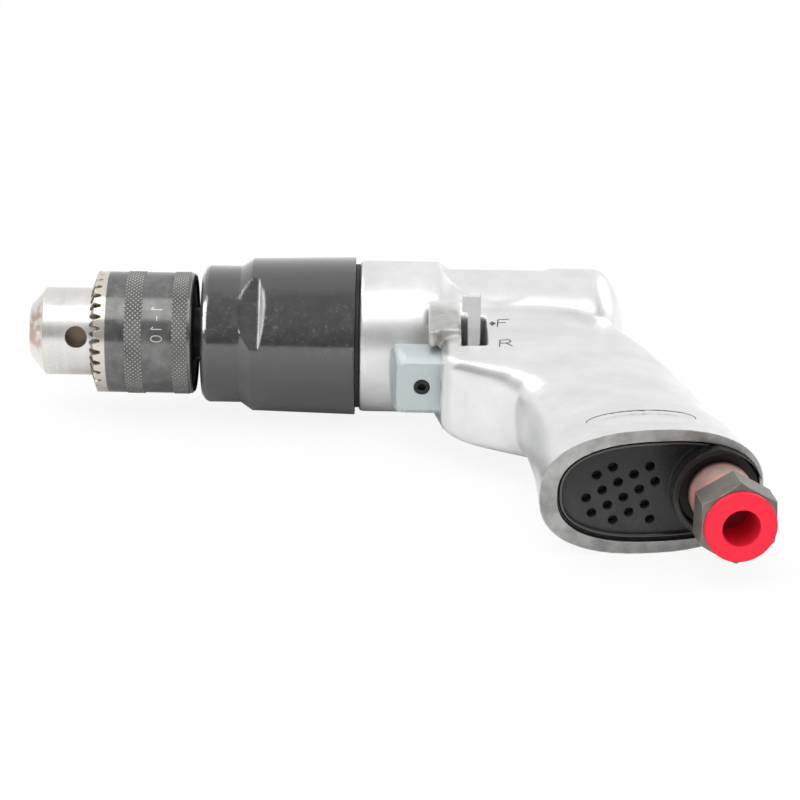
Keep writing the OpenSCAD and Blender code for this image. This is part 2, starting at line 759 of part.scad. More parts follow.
module handle_loft() {
    last = len(stations) - 1;
    sections = concat([for (i = [0:last - 1], j = [0:loft_steps - 1])
        [for (k = [0:5]) k == 0 ? mix(stations[i][0], stations[i + 1][0], j / loft_steps)
            : blend(stations, i, k, j / loft_steps)]], [stations[last]]);
    rings = [for (s = sections) ring_at(s)];
    n = loft_sides;
    m = len(rings);
    top = (rings[0][0] + rings[0][n / 2]) / 2;
    bottom = (rings[m - 1][0] + rings[m - 1][n / 2]) / 2;
    polyhedron(points = concat([for (r = rings) for (p = r) p], [top, bottom]),
        faces = concat(
            [for (i = [0:n - 1]) [m * n, i, (i + 1) % n]],
            [for (j = [0:m - 2], i = [0:n - 1]) [j * n + i, (j + 1) * n + i, j * n + (i + 1) % n]],
            [for (j = [0:m - 2], i = [0:n - 1])
                [j * n + (i + 1) % n, (j + 1) * n + i, (j + 1) * n + (i + 1) % n]],
            [for (i = [0:n - 1]) [m * n + 1, (m - 1) * n + (i + 1) % n, (m - 1) * n + i]]));
}

module barrel_outside() {
    r1 = barrel_front_r;
    r2 = barrel_rear_r;
    x_step = x_barrel + barrel_front_len;
    x_dome = x_barrel + barrel_len - dome_len;
    lathe(concat([[0, x_barrel], [r1 - 0.4, x_barrel], [r1, x_barrel + 0.4], [r1, x_step],
        [r2 + 0.4, x_step + 3], [r2, x_step + 5]],
        [for (a = [0:10:90]) [r2 * cos(a), x_dome + dome_len * sin(a)]]));
}

// Raised guard on the left flank in front of the reverse lever, with an arch under it and a leg in front
module flank_guard() {
    x0 = x_block - guard_lead;
    x1 = x_lever - (slot_w - lever_t) / 2;
    half = block_w / 2;
    translate([0, 0, half - 3]) linear_extrude(guard_t + 3) difference() {
        translate([x0, -guard_drop - guard_leg]) square([x1 - x0, guard_drop + guard_leg - 10]);
        translate([x0 + 2 * guard_leg, -guard_drop - guard_leg]) circle(r = guard_leg, $fn = 48);
        translate([x0 + 2 * guard_leg, -guard_drop - 2 * guard_leg]) square([x1 - x0, 2 * guard_leg]);
    }
}

// Gusset that joins the right flank to the barrel in front of the trigger block
module flank_gusset() {
    x0 = x_block - guard_lead;
    half = block_w / 2;
    translate([0, 0, -half - 0.4]) linear_extrude(half / 2)
        polygon([[x0, -10], [x0 + 0.5, -guard_drop + 16], [x_block + 1, -guard_drop - 3],
            [x_block + 4, -guard_drop - 6], [x_block + 4, -10]]);
}

module housing() {
    color("#d4d6d8") difference() {
        union() {
            barrel_outside();
            handle_loft();
            flank_guard();
            flank_gusset();
        }
        barrel_scoop();
        rod(motor_bore_r, x_barrel - over, x_bore_end);
        rod(rear_brg[1] / 2 + 1, x_barrel, x_bore_end + 3);
        at_trigger() valve_cavity();
        rim_cavity();
    }
}

// Shallow round relief on the barrel's upper side
module barrel_scoop() {
    difference() {
        drilled(scoop_d / 2, x_barrel + scoop_x, 0, 2 * barrel_front_r, scoop_angle);
        rod(barrel_rear_r - scoop_depth, x_barrel, x_barrel + barrel_len);
    }
}

// Bores for the trigger and the valves, the lever's slot and the motor's air port
module valve_cavity() {
    rod(trigger_r + slide_gap, x_block - 30, x_lever - 0.3);
    rod(hub_r + slide_gap, x_block, x_reverse + 0.3);
    rod(valve_bore_r, x_block, x_valve_end);
    translate([x_lever - (slot_w - lever_t) / 2, -slot_down, 0])
        cube([slot_w, slot_down + slot_up, rim_w]);
    translate([x_bushing + bushing_len - 2.5, 0, 0]) rotate([-90, 0, 0])
        cylinder(r = 2.5, h = trigger_drop - rotor_r, $fn = 48);
}

module recess_outline(gap) {
    translate([recess_shift, 0]) polygon(oval(recess_len / 2 - gap, recess_w / 2 - gap, 2.5, 64));
}

// Recess for the exhaust cover, the exhaust chamber, the inlet socket and the air passage
module rim_cavity() {
    deep = bushing_thread_len + rim_recess;
    // The air passage runs from the inlet socket's end to the valve's bore
    from = [x_rim + inlet_offset * cos(handle_lean) - deep * sin(handle_lean),
        -handle_len + inlet_offset * sin(handle_lean) + deep * cos(handle_lean)];
    run = [x_valve_end - 5, -trigger_drop] - from;
    tilt = atan2(-run[0], run[1]) - handle_lean;
    at_rim() {
        translate([0, 0, -rim_recess]) linear_extrude(rim_recess + over) recess_outline(0);
        translate([exhaust_x, 0, -exhaust_depth]) linear_extrude(exhaust_depth)
            polygon(oval(exhaust_l / 2, exhaust_w / 2, 3, 48));
    }
    at_inlet() {
        translate([0, 0, -deep - 0.5]) cylinder(r = bushing_thread_r + press_gap, h = deep + over, $fn = 64);
        translate([0, 0, -deep]) rotate([0, 180 + tilt, 0]) cylinder(r = passage_r, h = norm(run), $fn = 48);
    }
}

// Trigger
module trigger() {
    x_rear = x_block + trigger_guide;
    color("#c3c8cd") at_trigger() difference() {
        intersection() {
            lathe([[0, x_trigger - trigger_r], [trigger_r, x_trigger - trigger_r], [trigger_r, x_rear],
                [trigger_shank_d / 2, x_rear], [trigger_shank_d / 2, x_rear + trigger_shank_len],
                [0, x_rear + trigger_shank_len]]);
            trigger_face();
        }
        translate([x_trigger - trigger_r, -2 * trigger_r - trigger_flat, -trigger_r - over])
            cube([trigger_r + trigger_reach + trigger_guide + 2 * over, 2 * trigger_r,
                trigger_d + 2 * over]);
        rod(stem_d / 2 + press_gap, x_trigger + trigger_cap, x_rear + trigger_shank_len + over);
        translate([x_trigger + stem_screw_x, 0, 0]) rotate([90, 0, 0])
            cylinder(d = stem_screw_d + 2 * press_gap, h = trigger_r, $fn = 48);
    }
}

// Sloping face with a rounded rim, and room for the rest of the trigger behind it
module trigger_face() {
    r = trigger_r + 0.1;
    far = 3 * trigger_r;
    translate([x_trigger + trigger_r * tan(trigger_slope), 0, 0]) rotate([0, 0, trigger_slope])
        lathe(concat([[0, 0]],
            [for (a = [0:15:90]) [r - trigger_edge * (1 - sin(a)), trigger_edge * (1 - cos(a))]],
            [[far, trigger_edge + 0.1], [far, 2 * far], [0, 2 * far]]));
}

// Socket set screw that holds the trigger on its stem
module trigger_screw() {
    from = stem_d / 2 + run_gap;
    to = trigger_flat - 0.2;
    color("#2c2b2a") at_trigger() translate([x_trigger + stem_screw_x, 0, 0]) rotate([90, 0, 0])
        difference() {
            translate([0, 0, from]) cylinder(d = stem_screw_d, h = to - from, $fn = 48);
            translate([0, 0, to - 2.4]) cylinder(d = 2.6, h = 3, $fn = 6);
        }
}

// Throttle valve
module valve_stem() {
    x_tip = x_trigger + trigger_cap + 0.2;
    x_head = x_seat + 0.15;
    color("#b3b1a8") at_trigger() lathe([[0, x_tip], [stem_d / 2, x_tip],
        [stem_d / 2, x_head], [valve_head_r, x_head], [valve_head_r, x_head + valve_head_len],
        [stem_d / 2, x_head + valve_head_len], [stem_d / 2, x_head + valve_head_len + 3],
        [0, x_head + valve_head_len + 3]]);
}

module stem_seal() {
    r = 0.75;
    color("#1b1b1b") at_trigger() translate([x_bushing + bushing_guide / 2, 0, 0]) rotate([0, 90, 0])
        rotate_extrude($fn = 48) translate([stem_d / 2 + 0.1 + r, 0]) circle(r = r, $fn = 24);
}

module valve_bushing() {
    x_groove = x_bushing + bushing_guide / 2;
    color("#b08d4f") at_trigger() difference() {
        rod(valve_bore_r - run_gap, x_bushing, x_seat);
        rod(stem_d / 2 + slide_gap, x_bushing - over, x_seat);
        rod(stem_d / 2 + 1.62, x_groove - 0.9, x_groove + 0.9);
        rod(valve_head_r - 1.2, x_bushing + bushing_guide, x_seat + over);
        for (a = [0, 180]) drilled(1.6, x_seat - 2.5, 0, valve_bore_r + over, a);
    }
}

// One unbroken coil, with sides six to a turn of the wire
module valve_spring() {
    sides = 6;
    steps = 12;
    count = spring_turns * steps;
    wire = spring_wire / 2;
    rise = spring_len - spring_wire;
    points = [for (j = [0:count], i = [0:sides - 1])
        let (a = j * 360 / steps, b = i * 360 / sides, r = spring_r + wire * cos(b))
        [x_spring + wire + rise * j / count + wire * sin(b), r * cos(a), r * sin(a)]];
    echo(valve_spring_gap = rise / spring_turns - spring_wire);
    color("#9c9c9a") at_trigger() polyhedron(points = points, faces = concat(
        [[for (i = [0:sides - 1]) i]],
        [for (j = [0:count - 1], i = [0:sides - 1])
            [j * sides + i, (j + 1) * sides + i, j * sides + (i + 1) % sides]],
        [for (j = [0:count - 1], i = [0:sides - 1])
            [j * sides + (i + 1) % sides, (j + 1) * sides + i, (j + 1) * sides + (i + 1) % sides]],
        [[for (i = [0:sides - 1]) count * sides + sides - 1 - i]]));
}

// Reverse valve and its lever
module lever_place() {
    at_trigger() rotate([-lever_rest, 0, 0]) children();
}

module reverse_valve() {
    color("#a8a59b") difference() {
        at_trigger() union() {
            rod(hub_r, x_lever, x_reverse);
            rod(reverse_r, x_reverse - over, x_reverse + reverse_len);
        }
        at_trigger() rod(trigger_shank_d / 2 + slide_gap, x_lever - over, x_reverse + over);
        at_trigger() rod(reverse_bore_r, x_reverse, x_reverse + reverse_len + over);
        at_trigger() for (a = [60, 120]) drilled(2.2, x_reverse + reverse_len / 2, 0, hub_r + over, a + 210);
        lever_place() translate([x_lever - over, -lever_w / 2 - press_gap, lever_root - press_gap])
            cube([lever_t + over, lever_w + 2 * press_gap, hub_r]);
    }
}

module reverse_lever() {
    edge = 0.5;
    color("#c9ccce") lever_place() translate([x_lever, 0, lever_root]) rotate([0, 0, 90])
        translate([0, -lever_t, 0]) union() {
            translate([-lever_w / 2, 0, 0]) cube([lever_w, lever_t, lever_reach - lever_root - edge]);
            translate([-lever_w / 2 + edge, 0, 0])
                cube([lever_w - 2 * edge, lever_t, lever_reach - lever_root]);
            translate([-lever_w / 2 + edge, edge, lever_reach - lever_root - lever_pad_len - edge])
                cube([lever_w - 2 * edge, lever_t + lever_pad - edge, lever_pad_len]);
        }
}

// Exhaust end
module vent_holes() {
    for (row = vent_rows, i = [row[1]:row[2]]) {
        p = [vent_x, vent_z] + i * vent_u + row[0] * vent_v;
        translate([p[0], p[1], -rim_recess - over]) cylinder(d = vent_d, h = cover_t + 2 * over, $fn = 24);
    }
}

module exhaust_cover() {
    color("#222426") at_rim() difference() {
        union() {
            translate([0, 0, -rim_recess]) linear_extrude(cover_t) recess_outline(slide_gap);
            translate([0, 0, cover_top - over]) linear_extrude(cover_lip + over) difference() {
                recess_outline(slide_gap);
                recess_outline(slide_gap + cover_lip_w);
            }
            intersection() {
                translate([inlet_offset, 0, -rim_recess])
                    cylinder(r = collar_r, h = rim_recess + collar_out, $fn = 64);
                translate([0, 0, -rim_recess])
                    linear_extrude(rim_recess + 2 * collar_out) recess_outline(slide_gap);
            }
        }
        vent_holes();
        translate([inlet_offset, 0, -rim_recess - over])
            cylinder(r = bushing_r + slide_gap, h = hex_out, $fn = 64);
        translate([inlet_offset, 0, cover_top]) cylinder(r = collar_bore_r, h = hex_out, $fn = 64);
    }
}

module muffler_felt() {
    color("#8b8578") at_rim() translate([exhaust_x, 0, -rim_recess - seat_gap - felt_len])
        linear_extrude(felt_len)
        polygon(oval(exhaust_l / 2 - 0.3, exhaust_w / 2 - 0.3, 3, 48));
}

// Air inlet
module inlet_bushing() {
    deep = bushing_thread_len + rim_recess;
    mouth = hex_out - plug_stem_len - 0.5;
    color("#54433c") at_inlet() difference() {
        union() {
            translate([0, 0, -deep]) cylinder(r = bushing_thread_r, h = deep, $fn = 64);
            translate([0, 0, -rim_recess + seat_gap])
                cylinder(r = bushing_r, h = cover_top + rim_recess + bushing_flange_t / 2, $fn = 64);
            cylinder(r = bushing_neck_r, h = hex_in + over, $fn = 64);
            translate([0, 0, cover_top + seat_gap])
                cylinder(r = bushing_flange_r, h = bushing_flange_t, $fn = 64);
            intersection() {
                translate([0, 0, hex_in]) rotate([0, 0, 30])
                    cylinder(r = hex_across / sqrt(3), h = hex_len, $fn = 6);
                hex_chamfer();
            }
        }
        translate([0, 0, -deep - over]) cylinder(r = screen_r - screen_ledge, h = deep + hex_out, $fn = 64);
        translate([0, 0, x_screen]) cylinder(r = screen_r + slide_gap, h = screen_t, $fn = 64);
        translate([0, 0, x_screen + screen_t / 2]) cylinder(d = inlet_thread_d, h = hex_out, $fn = 64);
        translate([0, 0, mouth]) cylinder(r = plug_stem_r + run_gap, h = hex_out, $fn = 64);
        translate([0, 0, -deep + 6]) rotate_extrude($fn = 64)
            translate([bushing_thread_r, 0]) square([4 * seal_r + 0.2, 2 * seal_r + 0.1], center = true);
    }
}

// Turned cone that chamfers the corners of the hexagon's outer end
module hex_chamfer() {
    r = hex_across / sqrt(3);
    cut = 1.2;
    rotate_extrude($fn = 64) polygon([[0, 0], [r + over, 0], [r + over, hex_out - cut - over * 0.58],
        [r - 1.6, hex_out], [0, hex_out]]);
}

module inlet_seal() {
    deep = bushing_thread_len + rim_recess;
    color("#1b1b1b") at_inlet() translate([0, 0, -deep + 6]) rotate_extrude($fn = 48)
        translate([bushing_thread_r - seal_r, 0]) circle(r = seal_r - 0.05, $fn = 24);
}

module inlet_screen() {
    color("#a9a79f") at_inlet() translate([0, 0, x_screen + 0.1]) difference() {
        cylinder(r = screen_r, h = screen_t - 0.2, $fn = 48);
        for (i = [-2:2], j = [-2:2]) if (norm([i, j]) < 2.3)
            translate([i * 1.7, j * 1.7, -over]) cylinder(d = 1.1, h = screen_t + 2 * over, $fn = 24);
    }
}

module inlet_plug() {
    color("#f03a48") at_inlet() difference() {
        union() {
            translate([0, 0, hex_out + 0.05]) cylinder(d = plug_d, h = plug_flange_t, $fn = 64);
            translate([0, 0, hex_out - plug_stem_len])
                cylinder(r = plug_stem_r, h = plug_stem_len + over, $fn = 64);
        }
        translate([0, 0, hex_out - plug_stem_len + plug_floor])
            cylinder(r = plug_hole_r, h = plug_stem_len + 2 * plug_flange_t, $fn = 64);
    }
}

chuck_body();
chuck_sleeve();
chuck_nut();
chuck_jaw_1();
chuck_jaw_2();
chuck_jaw_3();
chuck_screw();
nose_cover();
gear_case();
spindle();
spindle_bearing_outer();
spindle_bearing_inner();
spindle_bearing_balls();
bearing_spacer();
planet_pins();
planet_gear_1();
planet_gear_2();
planet_gear_3();
ring_gear();
front_end_plate();
front_bearing_outer();
front_bearing_inner();
front_bearing_balls();
rotor();
rotor_vanes();
motor_cylinder();
cylinder_pin();
rear_end_plate();
rear_bearing_outer();
rear_bearing_inner();
rear_bearing_balls();
housing();
trigger();
trigger_screw();
valve_stem();
stem_seal();
valve_bushing();
valve_spring();
reverse_valve();
reverse_lever();
exhaust_cover();
muffler_felt();
inlet_bushing();
inlet_seal();
inlet_screen();
inlet_plug();
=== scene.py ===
"""Looks of a pistol-grip air drill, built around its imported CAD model."""

import math

import bmesh
import bpy
import numpy as np
from bpy.props import FloatProperty, FloatVectorProperty, IntProperty, PointerProperty
from mathutils import Matrix, Vector
from mathutils.bvhtree import BVHTree


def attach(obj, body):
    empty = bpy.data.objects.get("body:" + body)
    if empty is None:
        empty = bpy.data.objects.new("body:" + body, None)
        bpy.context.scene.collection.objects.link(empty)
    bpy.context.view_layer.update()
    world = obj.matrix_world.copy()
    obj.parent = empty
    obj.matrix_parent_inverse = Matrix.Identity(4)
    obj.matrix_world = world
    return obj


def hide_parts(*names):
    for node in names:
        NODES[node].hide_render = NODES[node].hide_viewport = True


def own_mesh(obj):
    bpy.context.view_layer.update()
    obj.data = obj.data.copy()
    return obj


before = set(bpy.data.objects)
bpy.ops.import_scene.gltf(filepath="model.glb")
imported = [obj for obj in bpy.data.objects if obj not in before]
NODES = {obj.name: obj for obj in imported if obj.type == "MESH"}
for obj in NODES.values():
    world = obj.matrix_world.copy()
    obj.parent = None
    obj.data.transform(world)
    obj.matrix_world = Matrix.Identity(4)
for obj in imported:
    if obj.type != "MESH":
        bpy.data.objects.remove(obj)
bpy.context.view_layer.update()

bl_info = {
    "name": "Air drill",
    "version": (1, 0, 0),
    "blender": (4, 5, 0),
    "location": "3D view > Sidebar > Air drill",
    "description": "Dresses the CAD model of an air drill with cast, turned and moulded finishes",
    "category": "Object",
}

MM = 0.001
# Width of the photo and focal length in picture points, and width of the sensor
PICTURE = 800
FOCAL = 2800
SENSOR = 36
# The camera faces a point under the spindle: its place along it and its distance below it, in m
FACED = (0.107, 0.0185)
# Middle of the grip's rim in mm, the lean of the grip, and the ways along the rim and out of it
RIM = (171.2, -112.0)
LEAN = math.radians(8)
COS, SIN = math.cos(LEAN), math.sin(LEAN)
RIM_ALONG = Vector((COS, SIN, 0))
RIM_OUT = Vector((SIN, -COS, 0))
# Places of the exhaust's middle and of the inlet along the rim, in mm
EXHAUST = 1.8
INLET = 17.2
# The blank oblong on the grip, in picture points: its middle, half length and half height, the drop
# of its ends, and how far right of its middle it lies highest
OBLONG = (641.0, 416.5, 55.0, 6.4, 5.0, 11.0)
# Samples of a rounded edge, roughness of a coat, and share of the turning marks in a tone
BEVEL_SAMPLES = 6
COAT_ROUGHNESS = 0.06
RING_SHARE = 0.6
# Colour of painted shade in deep recesses and holes that get no light, and of the black rubber seals
DARK = (0.02, 0.02, 0.02)


# Settings

def setting(kind, **limits):
    return lambda name, description, default: kind(name=name, description=description,
                                                   default=default, **limits)


colour = setting(FloatVectorProperty, subtype="COLOR", size=3, min=0, max=1)
length = setting(FloatProperty, min=0, unit="LENGTH", precision=5)
share = setting(FloatProperty, min=0, max=1, subtype="FACTOR")
level = setting(FloatProperty, min=0)
angle = setting(FloatProperty, subtype="ANGLE")
count = setting(IntProperty, min=1)


class CastingSettings(bpy.types.PropertyGroup):
    """The aluminium housing."""
    skin: colour("Aluminium", "Colour of the satin casting", (0.80, 0.80, 0.80))
    roughness: share("Roughness", "Roughness of the tumbled surface", 0.34)
    grid: length("Grid", "Grid on which the casting is rounded", 0.45 * MM)
    rim_depth: length("Rim band", "Depth of the machined end of the rim", 2.4 * MM)
    oblong_depth: length("Oblong", "Depth of the blank oblong on the grip", 0.5 * MM)
    rounds: count("Rounding", "Passes that soften the casting's edges", 18)
    # The marks' colour also paints the shadow line along the oblong's upper edge
    ink_and_shadow: colour("Marks", "Colour of the sunk marks", (0.10, 0.10, 0.10))


class ChuckSettings(bpy.types.PropertyGroup):
    """The keyed chuck."""
    steel: colour("Steel", "Bright turned steel", (0.74, 0.72, 0.69))
    oxide: colour("Black oxide", "Blackened sleeve", (0.185, 0.185, 0.183))
    knurl_depth: length("Knurl depth", "Height of the knurl's points", 0.26 * MM)
    knurl_count: count("Knurl count", "Points of the knurl in one turn", 82)


class MouldingSettings(bpy.types.PropertyGroup):
    """Plastic pieces."""
    cover: colour("Nose cover", "Glossy black cover", (0.007, 0.007, 0.0075))
    # The exhaust cover's colour is dust and a painted reflection, lighter towards the bottom
    exhaust: colour("Exhaust cover", "Dust on the black exhaust cover", (0.056, 0.056, 0.055))
    plug: colour("Plug", "Red transport plug", (0.980, 0.025, 0.058))


class FittingSettings(bpy.types.PropertyGroup):
    """Trigger, lever and inlet."""
    trigger: colour("Trigger", "Satin trigger", (0.58, 0.63, 0.64))
    lever: colour("Lever", "Bright lever", (0.88, 0.88, 0.88))
    bronze: colour("Inlet", "Dark bronzed inlet", (0.19, 0.168, 0.150))


class StageSettings(bpy.types.PropertyGroup):
    """Camera, light and floor."""
    distance: length("Distance", "Distance from the camera to the spindle's line", 0.814)
    elevation: angle("Elevation", "Height of the camera over the spindle", math.radians(21.35))
    roll: angle("Roll", "Tilt of the picture", math.radians(0.95))
    ambient: level("Ambient", "Level of the light from all round", 0.82)
    room: share("Room", "Level of the room on the camera's side in reflections", 0.30)
    ceiling: share("Ceiling", "Level of the ceiling on the camera's side in reflections", 0.59)
    lamps: level("Lamps", "Light of the lamps on the metal", 1.5)
    gloss: level("Gloss lamps", "Light of the lamps on the nose cover", 9.5)


class DrillSettings(bpy.types.PropertyGroup):
    """All the settings of the drill."""
    casting: PointerProperty(type=CastingSettings)
    chuck: PointerProperty(type=ChuckSettings)
    moulding: PointerProperty(type=MouldingSettings)
    fitting: PointerProperty(type=FittingSettings)
    stage: PointerProperty(type=StageSettings)


# Nodes

def feed(socket, value):
    """Link a socket to another one, or set its value."""
    if isinstance(value, bpy.types.NodeSocket):
        socket.id_data.links.new(value, socket)
    else:
        socket.default_value = value


def set_inputs(node, **values):
    for socket, value in values.items():
        feed(node.inputs[socket.replace("_", " ")], value)
    return node


def new_node(tree, kind, **values):
    return set_inputs(tree.nodes.new("ShaderNode" + kind), **values)


def math_node(operation, *values, clamp=False):
    node = new_node(values[0].id_data, "Math")
    node.operation = operation
    node.use_clamp = clamp
    for socket, value in zip(node.inputs, values):
        feed(socket, value)
    return node.outputs[0]


def times(a, b):
    return math_node("MULTIPLY", a, b)


def noise_node(vector, scale, detail=3.0, roughness=0.5):
    return new_node(vector.id_data, "TexNoise", Vector=vector, Scale=scale, Detail=detail,
                    Roughness=roughness).outputs["Fac"]


def remap(value, low, high, to_low=0.0, to_high=1.0):
    return new_node(value.id_data, "MapRange", Value=value, From_Min=low, From_Max=high,
                    To_Min=to_low, To_Max=to_high).outputs["Result"]


def fade(value, start, end):
    """0 at the first place and 1 at the second, both in mm."""
    return remap(value, start * MM, end * MM)


def place(tree):
    return new_node(tree, "TexCoord").outputs["Object"]


def patches(tree, scale, low, high, to_low=0.0, to_high=1.0, detail=4.0, roughness=0.5):
    """Cloudy patches: noise with the values between two levels spread out."""
    return remap(noise_node(place(tree), scale, detail, roughness), low, high, to_low, to_high)


def split(vector):
    return new_node(vector.id_data, "SeparateXYZ", Vector=vector).outputs


def join(x, y, z):
    return new_node(x.id_data, "CombineXYZ", X=x, Y=y, Z=z).outputs[0]


def radius(a, b):
    """Distance of a point from an axis, from its two offsets."""
    return math_node("SQRT", math_node("ADD", times(a, a), times(b, b)))


def rim_place(tree):
    """Offsets along the rim of the grip, out of it and across it."""
    x, y, z = split(place(tree))
    x = math_node("SUBTRACT", x, RIM[0] * MM)
    y = math_node("SUBTRACT", y, RIM[1] * MM)
    along = math_node("ADD", times(x, COS), times(y, SIN))
    return along, math_node("SUBTRACT", times(x, SIN), times(y, COS)), z


def bevel_node(tree, size):
    node = new_node(tree, "Bevel", Radius=size)
    node.samples = BEVEL_SAMPLES
    return node.outputs[0]


def blend(mask, a, b):
    """One colour, and another where the mask is 1."""
    node = new_node(mask.id_data, "Mix")
    node.data_type = "RGBA"
    feed(node.inputs[0], mask)
    sockets = [s for s in node.inputs if s.type == "RGBA"]
    for socket, value in zip(sockets, (a, b)):
        feed(socket, value if isinstance(value, bpy.types.NodeSocket) else (*value, 1.0))
    return next(s for s in node.outputs if s.type == "RGBA")


def mix_shaders(mask, a, b):
    node = new_node(mask.id_data, "MixShader")
    for socket, value in zip(node.inputs, (mask, a, b)):
        feed(socket, value)
    return node.outputs[0]


# Node groups

def make_group(name, inputs, outputs):
    """A node group, with the numbers that go in, their defaults, and those that come out."""
    tree = bpy.data.node_groups.new(name, "ShaderNodeTree")
    for socket, value in inputs.items():
        made = tree.interface.new_socket(socket, in_out="INPUT", socket_type="NodeSocketFloat")
        made.default_value = value
    for socket in outputs:
        tree.interface.new_socket(socket, in_out="OUTPUT", socket_type="NodeSocketFloat")
    start, end = tree.nodes.new("NodeGroupInput"), tree.nodes.new("NodeGroupOutput")
    return tree, start.outputs, end.inputs


def build_grain():
    """Fine cast or moulded grain, soft smudges and slow waves."""
    tree, start, end = make_group("grain", {"Scale": 900.0, "Smudge Scale": 45.0},
                                  ("Height", "Smudge", "Wave"))
    where = place(tree)
    feed(end["Height"], noise_node(where, start["Scale"], detail=4.0, roughness=0.6))
    feed(end["Smudge"], patches(tree, start["Smudge Scale"], 0.3, 0.7, roughness=0.62))
    feed(end["Wave"], noise_node(where, start["Smudge Scale"], detail=0.6))


def build_lathe_marks():
    """Rings left by turning about the spindle."""
    tree, start, end = make_group("lathe_marks", {"Scale": 2600.0}, ("Height", "Tone"))
    drift, coarse = 0.012, 0.16
    x, y, z = split(place(tree))
    ring = math_node("ADD", x, radius(y, z))
    flat = join(ring, times(y, drift), times(z, drift))
    feed(end["Height"], noise_node(flat, start["Scale"], detail=2.0))
    broad = noise_node(flat, times(start["Scale"], coarse))
    feed(end["Tone"], remap(broad, 0.3, 0.7))


def build_edge_wear():
    """Where handling has rubbed the edges."""
    tree, start, end = make_group("edge_wear", {"Radius": 0.5 * MM, "Break Up": 500.0}, ("Mask",))
    flat, sharp = 0.995, 0.90
    dot = new_node(tree, "VectorMath")
    dot.operation = "DOT_PRODUCT"
    feed(dot.inputs[0], bevel_node(tree, start["Radius"]))
    feed(dot.inputs[1], new_node(tree, "NewGeometry").outputs["Normal"])
    edge = remap(dot.outputs["Value"], flat, sharp)
    feed(end["Mask"], times(edge, patches(tree, start["Break Up"], 0.35, 0.6)))


def use_group(tree, group, **values):
    node = new_node(tree, "Group")
    node.node_tree = bpy.data.node_groups[group]
    return set_inputs(node, **values).outputs


# Finishes

def finish(name, base, metallic=0.0, roughness=0.5, grain=900, depth=0.0, smudge=45, tone=0.12,
           swing=0.08, lathe=0, cut=0.0, edge=0.4, wear=None, wear_radius=0.5, wear_level=1.0,
           specular=0.5, coat=0.0, wave=0.0, overlay=None):
    """A surface with grain of some depth, smudges that change its tone and swing its roughness,
    turning marks that are cut into it, rounded edges and worn edges. Lengths are in mm."""
    material = bpy.data.materials.new(name)
    material.use_nodes = True
    material.diffuse_color = (*base, 1.0)
    tree = material.node_tree
    shader = tree.nodes["Principled BSDF"]
    set_inputs(shader, Metallic=metallic, Specular_IOR_Level=specular)
    if coat:
        set_inputs(shader, Coat_Weight=coat, Coat_Roughness=COAT_ROUGHNESS)
    skin = use_group(tree, "grain", Scale=grain, Smudge_Scale=smudge)
    shade = skin["Smudge"]
    heights = [(skin["Wave"], wave), (skin["Height"], depth)]
    if lathe:
        rings = use_group(tree, "lathe_marks", Scale=lathe)
        shade = math_node("MULTIPLY_ADD", rings["Tone"], RING_SHARE, times(shade, 1 - RING_SHARE))
        heights.append((rings["Height"], cut))
    dark = [c * (1 - tone) for c in base]
    light = [min(1.0, c * (1 + tone)) for c in base]
    hue = blend(shade, dark, light)
    rough = math_node("MULTIPLY_ADD", skin["Smudge"], 2 * swing, roughness - swing)
    if wear:
        mask = use_group(tree, "edge_wear", Radius=wear_radius * MM)["Mask"]
        hue = blend(math_node("MULTIPLY", mask, wear_level, clamp=True), hue, wear)
    if overlay:
        hue, rough = overlay(tree, hue, rough)
    set_inputs(shader, Base_Color=hue, Roughness=rough)
    normal = bevel_node(tree, edge * MM) if edge else None
    for height, size in heights:
        if not size:
            continue
        bump = new_node(tree, "Bump", Distance=size * MM, Strength=1.0, Height=height)
        if normal:
            set_inputs(bump, Normal=normal)
        normal = bump.outputs[0]
    if normal:
        set_inputs(shader, Normal=normal)
    return material


# Pieces

def clad(mesh, material):
    mesh.materials.clear()
    mesh.materials.append(material)


def dress(material, *names):
    for name in names:
        clad(NODES[name].data, material)


def add_object(name, data):
    made = bpy.data.objects.new(name, data)
    bpy.context.scene.collection.objects.link(made)
    return made


def new_piece(name, verts, faces, material, body, smooth=False):
    mesh = bpy.data.meshes.new(name)
    mesh.from_pydata([tuple(v) for v in verts], [], faces)
    mesh.validate()
    mesh.update()
    mesh.polygons.foreach_set("use_smooth", [smooth] * len(mesh.polygons))
    mesh.materials.append(material)
    piece = add_object(name, mesh)
    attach(piece, body)


def vertex_rows(mesh, name):
    """One row of three numbers for each point of a mesh."""
    rows = np.empty(len(mesh.vertices) * 3)
    mesh.vertices.foreach_get(name, rows)
    return rows.reshape(-1, 3)


def move_points(mesh, co):
    mesh.vertices.foreach_set("co", co.ravel())
    mesh.update()


# Camera

def camera_axes(stage):
    """Place of the camera, and its right, up and back directions."""
    e, r = stage.elevation, stage.roll
    right = Vector((1, 0, 0))
    up = Vector((0, math.sin(e), math.cos(e)))
    back = Vector((0, -math.cos(e), math.sin(e)))
    middle = Vector((FACED[0], 0, 0)) - up * FACED[1]
    eye = middle + back * (stage.distance - middle.dot(back))
    turned_right = right * math.cos(r) + up * math.sin(r)
    turned_up = up * math.cos(r) - right * math.sin(r)
    return eye, turned_right, turned_up, back


def oblong_row(u):
    """Height of the oblong's middle line at a place across the picture."""
    x, y, half, _, drop, shift = OBLONG
    return y + drop * ((u - x - shift) / half) ** 2


# Operators

